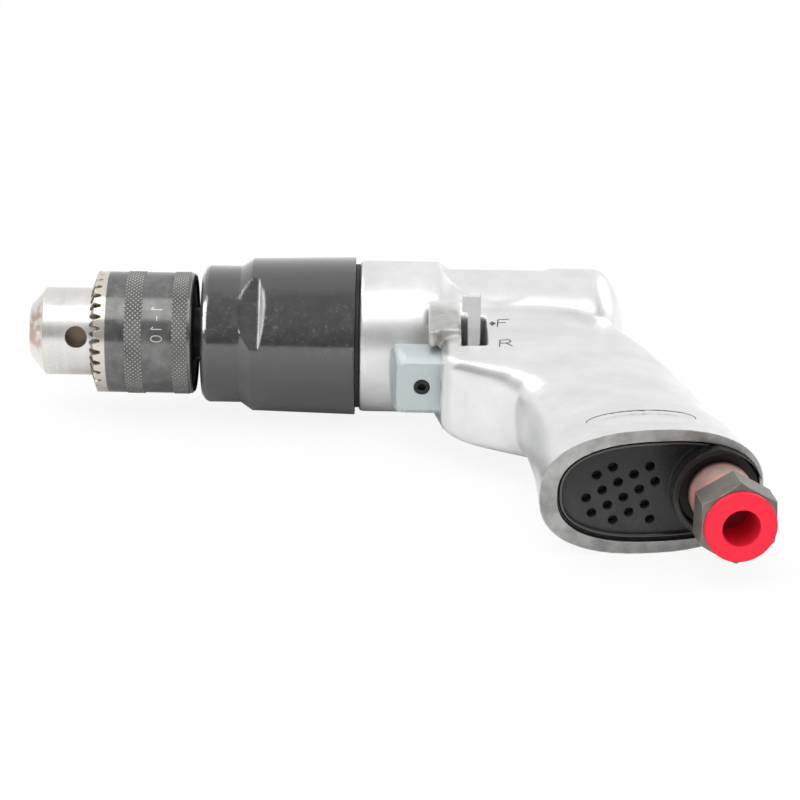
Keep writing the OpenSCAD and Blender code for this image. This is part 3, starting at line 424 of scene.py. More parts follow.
class DRILL_OT_stage(bpy.types.Operator):
    """Make the camera, the white studio and the floor"""
    bl_idname = "drill.stage"
    bl_label = "Stage"

    # Name, place and width of each lamp, and whether it is the nose cover that it lights
    LAMPS = (("key_lamp", (-0.02, -0.42, 0.89), 0.80, False),
             ("ridge_lamp", (-0.50, 0.22, 0.80), 0.62, False),
             ("rear_lamp", (0.80, 0.48, 0.48), 0.70, False),
             ("edge_lamp", (-0.81, -0.08, 0.32), 0.62, True),
             ("cone_lamp", (-0.50, -0.15, 0.75), 0.44, True))
    # Point that the lamps face
    LIT = (0.11, -0.04, 0)
    # Colours of the studio in reflections and in plain view, and the directions between which the
    # room on the camera's side begins, leaves the floor and rises to its ceiling
    STUDIO = (0.95, 0.95, 0.95)
    WHITE = (1, 1, 1, 1)
    AHEAD = (0.12, -0.25)
    ABOVE = (-0.02, 0.06)
    RISE = (0.08, 0.62)
    # Half width of the floor, its height at the spindle and its slope
    FLOOR = (6.0, -22.98 * MM, -0.0527)
    # Colour of the floor's paper, and how much of it the camera sees as plain white
    PAPER = (0.97, 0.97, 0.97, 1)
    BLEACHED = 0.88

    def execute(self, context):
        scene = context.scene
        stage = scene.drill.stage
        scene.view_settings.view_transform = "Standard"
        self.make_camera(scene, stage)
        self.make_world(scene, stage)
        self.make_lamps(stage)
        self.make_floor()
        return {"FINISHED"}

    def make_camera(self, scene, stage):
        eye, right, up, back = camera_axes(stage)
        data = bpy.data.cameras.new("camera")
        data.sensor_width = SENSOR
        data.lens = SENSOR * FOCAL / PICTURE
        data.clip_start = 0.01
        data.clip_end = 50
        camera = add_object("camera", data)
        turn = Matrix((right, up, back)).transposed().to_4x4()
        camera.matrix_world = Matrix.Translation(eye) @ turn
        scene.camera = camera

    def make_world(self, scene, stage):
        """White behind and below, a greyer room on the side of the camera."""
        world = bpy.data.worlds.new("studio")
        scene.world = world
        world.use_nodes = True
        tree = world.node_tree
        tree.nodes.clear()
        path = new_node(tree, "LightPath").outputs
        _, y, z = split(new_node(tree, "TexCoord").outputs["Generated"])
        room = times(remap(y, *self.AHEAD), remap(z, *self.ABOVE))
        height = remap(z, *self.RISE, stage.room, stage.ceiling)
        grey = blend(room, self.STUDIO, join(height, height, height))
        mirrored = self.backdrop(tree, grey)
        ambient = self.backdrop(tree, self.WHITE, stage.ambient)
        clear = math_node("MAXIMUM", path["Is Glossy Ray"], path["Is Transmission Ray"])
        light = mix_shaders(clear, ambient, mirrored)
        seen = mix_shaders(path["Is Camera Ray"], light, self.backdrop(tree, self.WHITE))
        new_node(tree, "OutputWorld", Surface=seen)

    def backdrop(self, tree, level, strength=1.0):
        return new_node(tree, "Background", Color=level, Strength=strength).outputs[0]

    def make_lamps(self, stage):
        """The lamps on the metal are flagged off the glossy nose cover, which has its own."""
        for name, spot, width, cover in self.LAMPS:
            data = bpy.data.lights.new(name, "AREA")
            data.shape = "DISK"
            data.size = width
            data.energy = (stage.gloss if cover else stage.lamps) * (math.pi * width / 2) ** 2
            lamp = add_object(name, data)
            lamp.location = spot
            lamp.visible_camera = False
            aim = Vector(self.LIT) - Vector(spot)
            lamp.rotation_euler = aim.to_track_quat("-Z", "Y").to_euler()
            flagged = bpy.data.collections.new(name + "_flag")
            flagged.objects.link(NODES["nose_cover"])
            for member in flagged.collection_objects:
                member.light_linking.link_state = "INCLUDE" if cover else "EXCLUDE"
            lamp.light_linking.receiver_collection = flagged

    def make_floor(self):
        """The drill rests on its cover and on the rim of its grip, so the floor slopes a little."""
        half, drop, slope = self.FLOOR
        corners = ((-half, -half), (half, -half), (half, half), (-half, half))
        mesh = bpy.data.meshes.new("floor")
        mesh.from_pydata([(x, y, drop + slope * y) for x, y in corners], [], [(0, 1, 2, 3)])
        floor = add_object("floor", mesh)
        material = bpy.data.materials.new("white_paper")
        material.use_nodes = True
        tree = material.node_tree
        shader = tree.nodes["Principled BSDF"]
        set_inputs(shader, Base_Color=self.PAPER, Roughness=0.9, Specular_IOR_Level=0.0)
        white = new_node(tree, "Emission").outputs[0]
        path = new_node(tree, "LightPath").outputs
        bleached = times(path["Is Camera Ray"], self.BLEACHED)
        paper = mix_shaders(bleached, shader.outputs[0], white)
        set_inputs(tree.nodes["Material Output"], Surface=paper)
        mesh.materials.append(material)


class DRILL_OT_housing(bpy.types.Operator):
    """Round the edges of the cast housing and give it a satin skin"""
    bl_idname = "drill.housing"
    bl_label = "Housing"

    # How far a point moves towards the middle of its neighbours in one round, and the number of
    # first rounds in which the machined faces move too
    STEP = 0.5
    FIRST_ROUNDS = 7
    # Where the casting goes under the machined band: its depth, its run and its drop, in mm
    UNDER = (2.3, 1.1, 0.2)
    # Height of the axis of the trigger's bore, its radius, its mouth and its floor, in mm
    BORE = (-34.0, 9.95, 112.0, 125.5)
    # Radius around that axis, and around the spindle, within which the casting is machined, in mm
    VALVE_R = 10.0
    BARREL_R = 19.0
    # Radius of the back of the barrel, its lowest height, its start and its end, in mm
    BARREL_BACK = (23.5, -9.0, 120.0, 152.0)
    # Half length and half width of the exhaust chamber, the power of its oval and its depth, in mm
    CHAMBER = (26.4, 14.0, 2.5, 60.0)
    # Depths at which the rim's machined end stops and the painted shade on the chamber's walls
    # begins, in mm
    RIM_STOP = 1.2
    WALL_START = 2.6
    # A wall of the chamber turns away from its middle by less than this
    AWAY = 0.3
    # Power of the oblong's outline, and the height over which it lies
    OBLONG_POWER = 2.9
    UPPER = 5 * MM
    # Middle of the guard over the trigger, and the distances between which its darker skin, partly
    # painted shade, begins, in mm
    GUARD = (116.0, -29.0, 12.0)
    GUARD_FADE = (13.5, 9.5)

    def execute(self, context):
        casting = context.scene.drill.casting
        rough = add_object("cast_housing", NODES["housing"].data.copy())
        remesh = rough.modifiers.new("grid", "REMESH")
        remesh.mode = "VOXEL"
        remesh.voxel_size = casting.grid
        evaluated = rough.evaluated_get(context.evaluated_depsgraph_get())
        mesh = bpy.data.meshes.new_from_object(evaluated)
        rough.modifiers.clear()
        rough.data = mesh
        if not len(mesh.vertices):
            raise RuntimeError("the housing could not be remeshed")
        self.soften(mesh, context.scene.drill)
        mesh.polygons.foreach_set("use_smooth", [True] * len(mesh.polygons))
        satin = finish("satin_aluminium", casting.skin, metallic=1.0, roughness=casting.roughness,
                       grain=700, depth=0.012, smudge=75, tone=0.075, swing=0.05, edge=0,
                       wave=0.5, overlay=self.raw_faces)
        clad(mesh, satin)
        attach(rough, "housing")
        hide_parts("housing")
        self.rim_end(casting, satin)
        return {"FINISHED"}

    def rim_end(self, casting, satin):
        """The end of the rim as a machined band with crisp edges, and painted shade on its inner
        wall.
        """
        middle = Vector((*RIM, 0)) * MM
        band = bmesh.new()
        band.from_mesh(NODES["housing"].data)
        bmesh.ops.remove_doubles(band, verts=band.verts[:], dist=0.001 * MM)
        cut = bmesh.ops.bisect_plane(band, geom=band.verts[:] + band.edges[:] + band.faces[:],
                                     plane_co=middle - RIM_OUT * casting.rim_depth,
                                     plane_no=RIM_OUT, clear_inner=True)
        loops = [e for e in cut["geom_cut"] if isinstance(e, bmesh.types.BMEdge)]
        bmesh.ops.bridge_loops(band, edges=loops)
        for face in band.faces:
            face.smooth = True
            across = face.calc_center_median() - middle
            if face.normal.dot(RIM_OUT) > 0.9:
                face.material_index = 1
            elif face.normal.dot(across) < 0:
                face.material_index = 2
        for edge in band.edges:
            edge.smooth = edge.calc_face_angle(math.pi) < math.radians(30)
        mesh = bpy.data.meshes.new("rim_end")
        band.to_mesh(mesh)
        band.free()
        milled = finish("milled_rim", (0.40, 0.40, 0.39), metallic=1.0, roughness=0.42, grain=1400,
                        depth=0.02, smudge=190, tone=0.34, edge=0.35, wear=(0.86, 0.86, 0.85),
                        wear_radius=0.4)
        # Painted shade on the recess's inner wall
        shaded = finish("shaded_wall", (0.03, 0.03, 0.03), metallic=0.5, roughness=0.6,
                        depth=0.02, tone=0.3, edge=0)
        for material in (satin, milled, shaded):
            mesh.materials.append(material)
        piece = add_object("rim_end", mesh)
        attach(piece, "housing")

    def soften(self, mesh, drill):
        """Average each point with its neighbours, the machined bores and the rim only a little."""
        total = len(mesh.vertices)
        co = vertex_rows(mesh, "co")
        pairs = np.empty(len(mesh.edges) * 2, int)
        mesh.edges.foreach_get("vertices", pairs)
        a, b = pairs.reshape(-1, 2).T
        near = np.bincount(a, minlength=total) + np.bincount(b, minlength=total)
        free = np.where(self.machined(co / MM), 0.0, self.STEP)[:, None]
        for turn in range(drill.casting.rounds):
            sums = np.stack([np.bincount(a, co[b, k], total) + np.bincount(b, co[a, k], total)
                             for k in range(3)], axis=1)
            step = self.STEP if turn < self.FIRST_ROUNDS else free
            co = co + step * (sums / near[:, None] - co)
        move_points(mesh, co)
        normals = vertex_rows(mesh, "normal")
        # Mask of the chamber's walls, which get painted shade
        chamber_shade = self.chamber_shade(co / MM, normals).astype(float)
        mesh.attributes.new("chamber_shade", "FLOAT", "POINT").data.foreach_set("value", chamber_shade)
        sunk = self.oblong(co, drill.stage) * drill.casting.oblong_depth
        depth, run, drop = self.UNDER
        under = np.clip((self.rim_offsets(co / MM)[1] + depth) / run, 0, 1) * drop * MM
        move_points(mesh, self.clear_bore(co - normals * (sunk + under)[:, None]))

    def clear_bore(self, co):
        """Move the points that the rounding left in the trigger's way to the wall or the floor."""
        axis, wall, mouth, floor = self.BORE
        least = 0.1
        x, y, z = (co / MM).T
        r = np.hypot(y - axis, z)
        inside = (r < wall) & (x > mouth) & (x < floor)
        aside = inside & (wall - r < floor - x)
        ahead = inside & ~aside
        grow = np.where(aside, wall / np.maximum(r, least), 1.0)
        moved = np.stack([np.where(ahead, floor, x), axis + (y - axis) * grow, z * grow], axis=1)
        return np.where(inside[:, None], moved * MM, co)

    def oblong(self, co, stage):
        """1 for the points in the blank oblong on the grip, which follows its rim, 0 elsewhere."""
        eye, right, up, back = (np.array(v) for v in camera_axes(stage))
        offset = co - eye
        depth = -(offset @ back)
        u = PICTURE / 2 + FOCAL * (offset @ right) / depth
        v = PICTURE / 2 - FOCAL * (offset @ up) / depth
        x, _, half, height, _, _ = OBLONG
        across = np.abs((u - x) / half) ** self.OBLONG_POWER
        rows = np.abs((v - oblong_row(u)) / height) ** self.OBLONG_POWER
        edge = np.clip((1 - (across + rows) ** (1 / self.OBLONG_POWER)) * height, 0, 1)
        return edge * edge * (3 - 2 * edge) * (co[:, 2] > self.UPPER)

    def rim_offsets(self, p):
        """Offsets from the exhaust's middle along the rim, out of it and across it, in mm."""
        x, y, z = p.T
        along = (x - RIM[0]) * COS + (y - RIM[1]) * SIN
        out = (x - RIM[0]) * SIN - (y - RIM[1]) * COS
        return along - EXHAUST, out, z

    def in_chamber(self, along, out, z):
        half, side, power, depth = self.CHAMBER
        return (np.abs(along / half) ** power + np.abs(z / side) ** power < 1) & (out > -depth)

    def machined(self, p):
        """True for the points of the barrel, its bore, the valve's bores and the rim of the grip."""
        x, y, z = p.T
        r = np.hypot(y, z)
        outer, low, start, end = self.BARREL_BACK
        barrel = (r < self.BARREL_R) | ((r < outer) & (y > low) & (x > start) & (x < end))
        valve = np.hypot(y - self.BORE[0], z) < self.VALVE_R
        along, out, z = self.rim_offsets(p)
        return barrel | valve | self.in_chamber(along, out, z) | (out > -self.RIM_STOP)

    def chamber_shade(self, p, normals):
        """1 for the walls of the chamber behind the exhaust cover, which get painted shade, 0 for
        the outside.
        """
        along, out, z = self.rim_offsets(p)
        nx, ny, nz = normals.T
        away = (nx * COS + ny * SIN) * along / 2 + nz * z
        walls = away < self.AWAY * np.hypot(along / 2, z)
        return self.in_chamber(along, out, z) & (out < -self.WALL_START) & walls

    def raw_faces(self, tree, hue, plain):
        """The guard over the trigger keeps its darker cast skin, which partly stands in as painted
        shade under its arch, and the exhaust chamber's walls get painted shade.
        """
        gap = new_node(tree, "VectorMath")
        gap.operation = "DISTANCE"
        feed(gap.inputs[0], place(tree))
        gap.inputs[1].default_value = [c * MM for c in self.GUARD]
        # Darker, rougher cast skin round the guard, partly painted shade under its arch
        skin = times(fade(gap.outputs["Value"], *self.GUARD_FADE),
                     patches(tree, 260.0, 0.25, 0.6, 0.5, 1.0))
        hue = blend(skin, hue, (0.47, 0.47, 0.45))
        rough = math_node("MULTIPLY_ADD", skin, 0.14, plain)
        # Painted shade on the walls of the exhaust chamber
        chamber_shade = new_node(tree, "Attribute")
        chamber_shade.attribute_name = "chamber_shade"
        return blend(chamber_shade.outputs["Fac"], hue, (0.04, 0.04, 0.04)), rough


class DRILL_OT_marks(bpy.types.Operator):
    """Lay the forward and reverse marks on the housing, and a painted shadow line along the oblong's
    upper edge
    """
    bl_idname = "drill.marks"
    bl_label = "Marks"

    # Strokes in picture points, laid on the housing along the camera's rays
    FORWARD = [[(498.0, 319.6), (497.4, 326.6)], [(498.0, 319.8), (509.0, 319.2)],
               [(497.8, 322.9), (506.0, 322.4)]]
    REVERSE = [[(500.0, 340.0), (499.6, 346.6)],
               [(500.0, 340.2), (508.5, 339.6), (511.0, 341.2), (508.5, 342.9), (499.9, 343.3)],
               [(506.0, 343.1), (512.5, 346.0)]]
    ARROW = [(489.2, 323.6), (492.2, 321.6), (496.0, 323.3), (492.2, 325.8)]
    # Widths of the letters' strokes and of the painted shadow line on the oblong's edge, and lift
    # off the housing, in mm
    LETTER = 0.36
    EDGE = 0.26
    LIFT = 0.05
    ARROW_LIFT = 0.06
    # Longest step along a stroke in picture points, and steps along the oblong's painted shadow line
    PACE = 1.5
    EDGE_STEPS = 36
    # Share of the half turn left out at each end of the oblong's painted shadow line, and the power
    # of its curve
    EDGE_TRIM = 0.02
    EDGE_POWER = 0.7

    def execute(self, context):
        drill = context.scene.drill
        self.axes = camera_axes(drill.stage)
        housing = bpy.data.objects["cast_housing"]
        self.tree = BVHTree.FromPolygons([v.co for v in housing.data.vertices],
                                         [p.vertices for p in housing.data.polygons])
        # The marks' material also serves for the painted shadow line on the oblong
        ink_and_shadow = finish("sunk_marks", drill.casting.ink_and_shadow, metallic=0.3, roughness=0.55,
                     grain=2500, depth=0.01, tone=0.3, edge=0)
        for name, strokes in (("mark_forward", self.FORWARD), ("mark_reverse", self.REVERSE)):
            self.engrave(name, strokes, self.LETTER * MM, ink_and_shadow)
        head = [self.on_housing(p) for p in self.ARROW]
        new_piece("mark_arrow", [h[0] + h[1] * self.ARROW_LIFT * MM for h in head],
                  [(0, 1, 2, 3)], ink_and_shadow, "housing")
        # A dark ribbon painted as the shadow along the oblong's upper edge
        self.engrave("oblong_shadow_line", [self.oblong_shadow_line()], self.EDGE * MM, ink_and_shadow)
        return {"FINISHED"}

    def oblong_shadow_line(self):
        """A painted shadow line along the upper edge of the blank oblong."""
        x, _, half, height, _, _ = OBLONG
        points = []
        for i in range(self.EDGE_STEPS + 1):
            t = math.pi * (self.EDGE_TRIM + (1 - 2 * self.EDGE_TRIM) * i / self.EDGE_STEPS)
            u = x - half * math.copysign(abs(math.cos(t)) ** self.EDGE_POWER, math.cos(t))
            points.append((u, oblong_row(u) - height * math.sin(t) ** self.EDGE_POWER))
        return points

    def on_housing(self, pixel):
        """The point of the housing under a picture point, and the normal there."""
        eye, right, up, back = self.axes
        u, v = pixel[0] - PICTURE / 2, pixel[1] - PICTURE / 2
        ray = (right * u - up * v - back * FOCAL).normalized()
        spot, normal, _, _ = self.tree.ray_cast(eye, ray)
        if spot is None:
            raise RuntimeError(f"no housing under picture point {pixel}")
        return spot, normal

    def engrave(self, name, strokes, width, material):
        """Flat ribbons along the strokes."""
        verts, faces = [], []
        for stroke in strokes:
            path = []
            for p, q in zip(stroke, stroke[1:]):
                steps = max(1, int(math.dist(p, q) / self.PACE))
                path += [(p[0] + (q[0] - p[0]) * k / steps, p[1] + (q[1] - p[1]) * k / steps)
                         for k in range(steps)]
            path.append(stroke[-1])
            spots = [self.on_housing(p) for p in path]
            for i, (spot, normal) in enumerate(spots):
                ahead = spots[min(i + 1, len(spots) - 1)][0] - spots[max(i - 1, 0)][0]
                side = normal.cross(ahead).normalized() * width / 2
                lift = normal * self.LIFT * MM
                base = len(verts)
                verts += [spot + side + lift, spot - side + lift]
                if i:
                    faces.append((base - 2, base - 1, base + 1, base))
        new_piece(name, verts, faces, material, "housing")


class DRILL_OT_chuck(bpy.types.Operator):
    """Finish the chuck and roll the two knurl bands on its sleeve"""
    bl_idname = "drill.chuck"
    bl_label = "Chuck"

    # Start and end of each knurl band and radius of the sleeve, in mm
    BANDS = ((27.6, 33.4), (41.2, 46.3))
    SLEEVE_R = 17.5
    # Lift of the knurl's hollows off the sleeve, and sink of its two edges under them, in mm
    HOLLOW = 0.02
    SINK = 0.1
    # Points of the digits and the dash: across the mark, then along the sleeve, in mm
    ONE = [(0.6, 0.7), (1.3, 0.0), (1.3, 3.2)]
    DASH = [(0.3, 1.7), (1.7, 1.7)]
    ZERO = [(1.1 + 0.9 * math.sin(k * math.pi / 6), 1.6 - 1.6 * math.cos(k * math.pi / 6))
            for k in range(13)]
    # Turn at which the mark begins, its place along the sleeve, the pace of its signs, the half
    # width of its strokes and its lift off the sleeve, in mm
    MARK_TURN = math.radians(226)
    MARK_X = 35.7
    MARK_PACE = 2.9
    MARK_HALF = 0.16
    MARK_LIFT = 0.03
    # Places between which the stain on the cone, the painted shade in the key holes and the painted
    # shade at the back begin, in mm
    CONE_X = (4.6, 3.4)
    HOLE_X = (5.5, 6.0)
    HOLE_R = (12.45, 8.4)
    BACK_X = (24, 25)
    # Share of the way that the stained side faces, up and towards the handle
    STAIN_SIDE = (0.42, 0.91)
    # The same for the worn steel teeth, the painted shade in their gaps, and the painted shade on
    # the sleeve's bore and end
    TEETH_X = (22.65, 22.45)
    GAP_R = (17.2, 16.2)
    BORE_R = (17.2, 17.0)
    BORE_X = (23.5, 24.5)
    END_X = (47.2, 47.4)

    def execute(self, context):
        chuck = context.scene.drill.chuck
        dress(finish("turned_steel", chuck.steel, metallic=1.0, roughness=0.30, grain=1800,
                     depth=0.003, smudge=120, tone=0.07, lathe=3000, cut=0.006, edge=0.35,
                     overlay=self.stain), "chuck_body")
        dress(finish("black_oxide", chuck.oxide, metallic=0.95, roughness=0.22, grain=1500,
                     depth=0.010, smudge=260, tone=0.26, edge=0.3, wear=(0.5, 0.48, 0.46),
                     wear_radius=0.35, overlay=lambda *a: self.bare_teeth(*a, chuck.steel)),
              "chuck_sleeve")
        dress(finish("ground_jaws", (0.55, 0.54, 0.52), metallic=1.0, roughness=0.32,
                     grain=2200, depth=0.004), "chuck_jaw_1", "chuck_jaw_2", "chuck_jaw_3")
        dress(finish("nut_steel", (0.03, 0.03, 0.03), metallic=0.6, roughness=0.8, lathe=1800,
                     cut=0.01), "chuck_nut")
        knurled = finish("knurled_oxide", chuck.oxide, metallic=0.85, roughness=0.42, grain=1500,
                         depth=0.008, smudge=160, tone=0.2, edge=0,
                         overlay=lambda *a: self.worn_points(*a, chuck.knurl_depth))
        for i, band in enumerate(self.BANDS, 1):
            self.knurl(f"knurl_band_{i}", *band, chuck, knurled)
        self.size_mark(finish("stamped_size", (0.58, 0.57, 0.55), metallic=0.8, roughness=0.45,
                              grain=2500, depth=0.01, tone=0.3, edge=0))
        return {"FINISHED"}

    def size_mark(self, material):
        """The chuck's span in millimetres, 1 to 10, stamped round the sleeve between the bands."""
        verts, faces = [], []
        around = 0.0
        r = (self.SLEEVE_R + self.MARK_LIFT) * MM
        for glyph in (self.ONE, self.DASH, self.ONE, self.ZERO):
            for p, q in zip(map(Vector, glyph), map(Vector, glyph[1:])):
                run = q - p
                side = Vector((-run.y, run.x)).normalized() * self.MARK_HALF
                base = len(verts)
                for corner in (p + side, p - side, q - side, q + side):
                    turn = self.MARK_TURN - (around + corner.x) / self.SLEEVE_R
                    verts.append(((self.MARK_X + corner.y) * MM, r * math.cos(turn),
                                  -r * math.sin(turn)))
                faces.append((base, base + 1, base + 2, base + 3))
            around += self.MARK_PACE
        new_piece("size_mark", verts, faces, material, "sleeve")

    def stain(self, tree, hue, rough):
        """A brown stain on the cone of the nose, and painted shade in the key holes and at the back.
        """
        x, y, z = split(place(tree))
        r = radius(y, z)
        up, out = self.STAIN_SIDE
        facing = math_node("SUBTRACT", times(z, up), times(y, out))
        near = times(fade(x, *self.CONE_X), remap(math_node("DIVIDE", facing, r), 0.72, 0.92))
        patch = times(patches(tree, 420.0, 0.34, 0.58, detail=5.0), 0.7)
        hue = blend(times(near, patch), hue, (0.40, 0.22, 0.17))
        # Painted shade, darker deeper into the key holes
        hole = times(fade(x, *self.HOLE_X), fade(r, *self.HOLE_R))
        hue = blend(hole, hue, (0.22, 0.17, 0.13))
        # Painted shade on the back of the body, behind the sleeve
        back = fade(x, *self.BACK_X)
        rough = math_node("MAXIMUM", rough, back)
        return blend(back, hue, DARK), rough

    def bare_teeth(self, tree, hue, rough, steel):
        """The key teeth are worn to the steel in front of the black, with painted shade in their
        gaps and on the sleeve's bore and end.
        """
        x, y, z = split(place(tree))
        r = radius(y, z)
        worn = (steel[0] * 0.92, steel[1] * 0.88, steel[2] * 0.82)
        # Painted shade, darker brown down in the gaps between the teeth
        teeth = blend(fade(r, *self.GAP_R), worn, (0.20, 0.17, 0.14))
        hue = blend(fade(x, *self.TEETH_X), hue, teeth)
        # Painted shade on the sleeve's bore and rear end
        bore = times(fade(r, *self.BORE_R), fade(x, *self.BORE_X))
        inside = math_node("MAXIMUM", bore, fade(x, *self.END_X))
        rough = math_node("MAXIMUM", rough, inside)
        return blend(inside, hue, DARK), rough

    def worn_points(self, tree, hue, rough, depth):
        """The points of the knurl are rubbed bright."""
        _, y, z = split(place(tree))
        low = self.SLEEVE_R * MM
        high = remap(radius(y, z), low + 0.35 * depth, low + 0.95 * depth)
        return blend(high, hue, (0.55, 0.54, 0.50)), rough

    def knurl(self, name, x0, x1, chuck, material):
        """A ring of four-sided points between two plain edges."""
        around = 2 * chuck.knurl_count
        cell = math.pi * self.SLEEVE_R / chuck.knurl_count
        rows = 2 * max(1, round((x1 - x0) / (2 * cell)))
        low, high = self.SLEEVE_R + self.HOLLOW, self.SLEEVE_R + chuck.knurl_depth / MM
        verts, faces = [], []
        for j in range(rows + 1):
            x = x0 + (x1 - x0) * j / rows
            for i in range(around):
                point = (i + j) % 2 == 1 and 0 < j < rows
                r = high if point else (low - self.SINK if j in (0, rows) else low)
                t = 2 * math.pi * i / around
                verts.append((x * MM, r * MM * math.cos(t), r * MM * math.sin(t)))
        for j in range(rows):
            for i in range(around):
                a, b = j * around + i, j * around + (i + 1) % around
                c, d = b + around, a + around
                if (i + j) % 2 == 1:
                    faces += [(a, d, b), (b, d, c)]
                else:
                    faces += [(a, d, c), (a, c, b)]
        new_piece(name, verts, faces, material, "sleeve")


class DRILL_OT_nose_cover(bpy.types.Operator):
    """Finish the glossy nose cover and the dark case behind it"""
    bl_idname = "drill.nose_cover"
    bl_label = "Nose cover"

    # Heights between which the dusty specks begin over the side and end towards the top, in mm
    DUST_FROM = (-1, 4)
    DUST_TO = (20, 14)

    def execute(self, context):
        moulding = context.scene.drill.moulding
        dress(finish("glossy_black", moulding.cover, roughness=0.12, grain=520, depth=0.026,
                     smudge=160, tone=0.35, swing=0.07, edge=1.3, specular=1.0, coat=1.0,
                     overlay=self.dusty), "nose_cover")
        dress(finish("dark_casting", (0.05, 0.05, 0.052), metallic=0.6, grain=1200,
                     depth=0.02, tone=0.2), "gear_case")
        return {"FINISHED"}

    def dusty(self, tree, hue, rough):
        """Cloudy scuffs and dusty specks on the gloss."""
        cloud = patches(tree, 330.0, 0.42, 0.66, detail=5.0, roughness=0.65)
        speck = times(patches(tree, 1100.0, 0.58, 0.76, 0.0, 0.7), remap(cloud, 0.0, 0.5))
        z = split(place(tree))["Z"]
        band = times(fade(z, *self.DUST_FROM), fade(z, *self.DUST_TO))
        hue = blend(times(cloud, band), hue, (0.026, 0.026, 0.024))
        hue = blend(times(speck, band), hue, (0.13, 0.128, 0.12))
        return hue, rough


class DRILL_OT_controls(bpy.types.Operator):
    """Finish the trigger, its screw and the reverse lever"""
    bl_idname = "drill.controls"
    bl_label = "Trigger and lever"

    def execute(self, context):
        fitting = context.scene.drill.fitting
        dress(finish("satin_trigger", fitting.trigger, metallic=0.8, grain=1300, depth=0.008,
                     smudge=70, tone=0.05, edge=0.7, wear=(0.88, 0.9, 0.9), wear_radius=0.45,
                     wear_level=0.8), "trigger")
        dress(finish("bright_lever", fitting.lever, metallic=0.85, roughness=0.38,
                     grain=1600, depth=0.006, tone=0.06, edge=0.5), "reverse_lever")
        dress(finish("blackened_screw", (0.03, 0.03, 0.03), metallic=0.7, roughness=0.35,
                     grain=2500, depth=0.006, tone=0.2, wear=(0.25, 0.25, 0.25), wear_radius=0.25),
              "trigger_screw", "chuck_screw")
        return {"FINISHED"}


class DRILL_OT_exhaust(bpy.types.Operator):
    """Finish the exhaust cover and the felt behind it, and lay the bead along its edge"""
    bl_idname = "drill.exhaust"
    bl_label = "Exhaust"

    # Heights between which the cover goes from its darker top to the dust and painted reflection of
    # its lower part, in mm, and share of their colour on the top
    SHEEN_Z = (9, -9)
    TOP_SHARE = 0.25
    # Half length, half width, depth and radius of the bead in mm, and the power of its oval
    BEAD = (25.1, 12.7, -1.4, 0.6)
    BEAD_POWER = 0.8
    # Steps along the bead and around it
    BEAD_STEPS = (128, 12)

    def execute(self, context):
        dust = context.scene.drill.moulding.exhaust
        dress(finish("moulded_black", dust, roughness=0.24, depth=0.015, smudge=220, swing=0.12,
                     edge=0.6, specular=0.35, overlay=lambda *a: self.dust(*a, dust)),
              "exhaust_cover")
        self.bead(finish("polished_bead", (0.010, 0.010, 0.010), roughness=0.2, tone=0.3,
                         edge=0, specular=1.0, coat=0.5))
        dress(finish("grey_felt", (0.06, 0.057, 0.05), roughness=0.95, grain=2600, depth=0.25,
                     smudge=400, tone=0.5, edge=0, specular=0.1), "muffler_felt")
        return {"FINISHED"}

    def dust(self, tree, hue, rough, dust):
        """Dust, and a painted reflection: the lower part of the cover is lighter and the top darker,
        in blotches.
        """
        z = split(place(tree))["Z"]
        # Dust and painted reflection, lighter towards the bottom of the cover
        mask = times(fade(z, *self.SHEEN_Z), patches(tree, 180.0, 0.3, 0.7, 0.5, 1.0, detail=3.0))
        return blend(mask, [c * self.TOP_SHARE for c in dust], dust), rough

    def bead(self, material):
        """A round bead along the edge of the exhaust cover."""
        half, side, depth, r = self.BEAD
        steps, facets = self.BEAD_STEPS
        up = Vector((0, 0, 1))
        path = []
        for i in range(steps):
            c, s = (f(2 * math.pi * i / steps) for f in (math.cos, math.sin))
            path.append(RIM_ALONG * (EXHAUST + half * math.copysign(abs(c) ** self.BEAD_POWER, c))
                        + up * side * math.copysign(abs(s) ** self.BEAD_POWER, s))
        middle = Vector((*RIM, 0)) + RIM_OUT * depth
        verts, faces = [], []
        for i, spot in enumerate(path):
            ahead = (path[(i + 1) % steps] - path[i - 1]).normalized()
            across = ahead.cross(RIM_OUT)
            for k in range(facets):
                q = 2 * math.pi * k / facets
                ring = across * math.cos(q) + RIM_OUT * math.sin(q)
                verts.append((middle + spot + ring * r) * MM)
                n, m = (i + 1) % steps, (k + 1) % facets
                faces.append((i * facets + k, i * facets + m, n * facets + m, n * facets + k))
        new_piece("exhaust_bead", verts, faces, material, "housing", smooth=True)


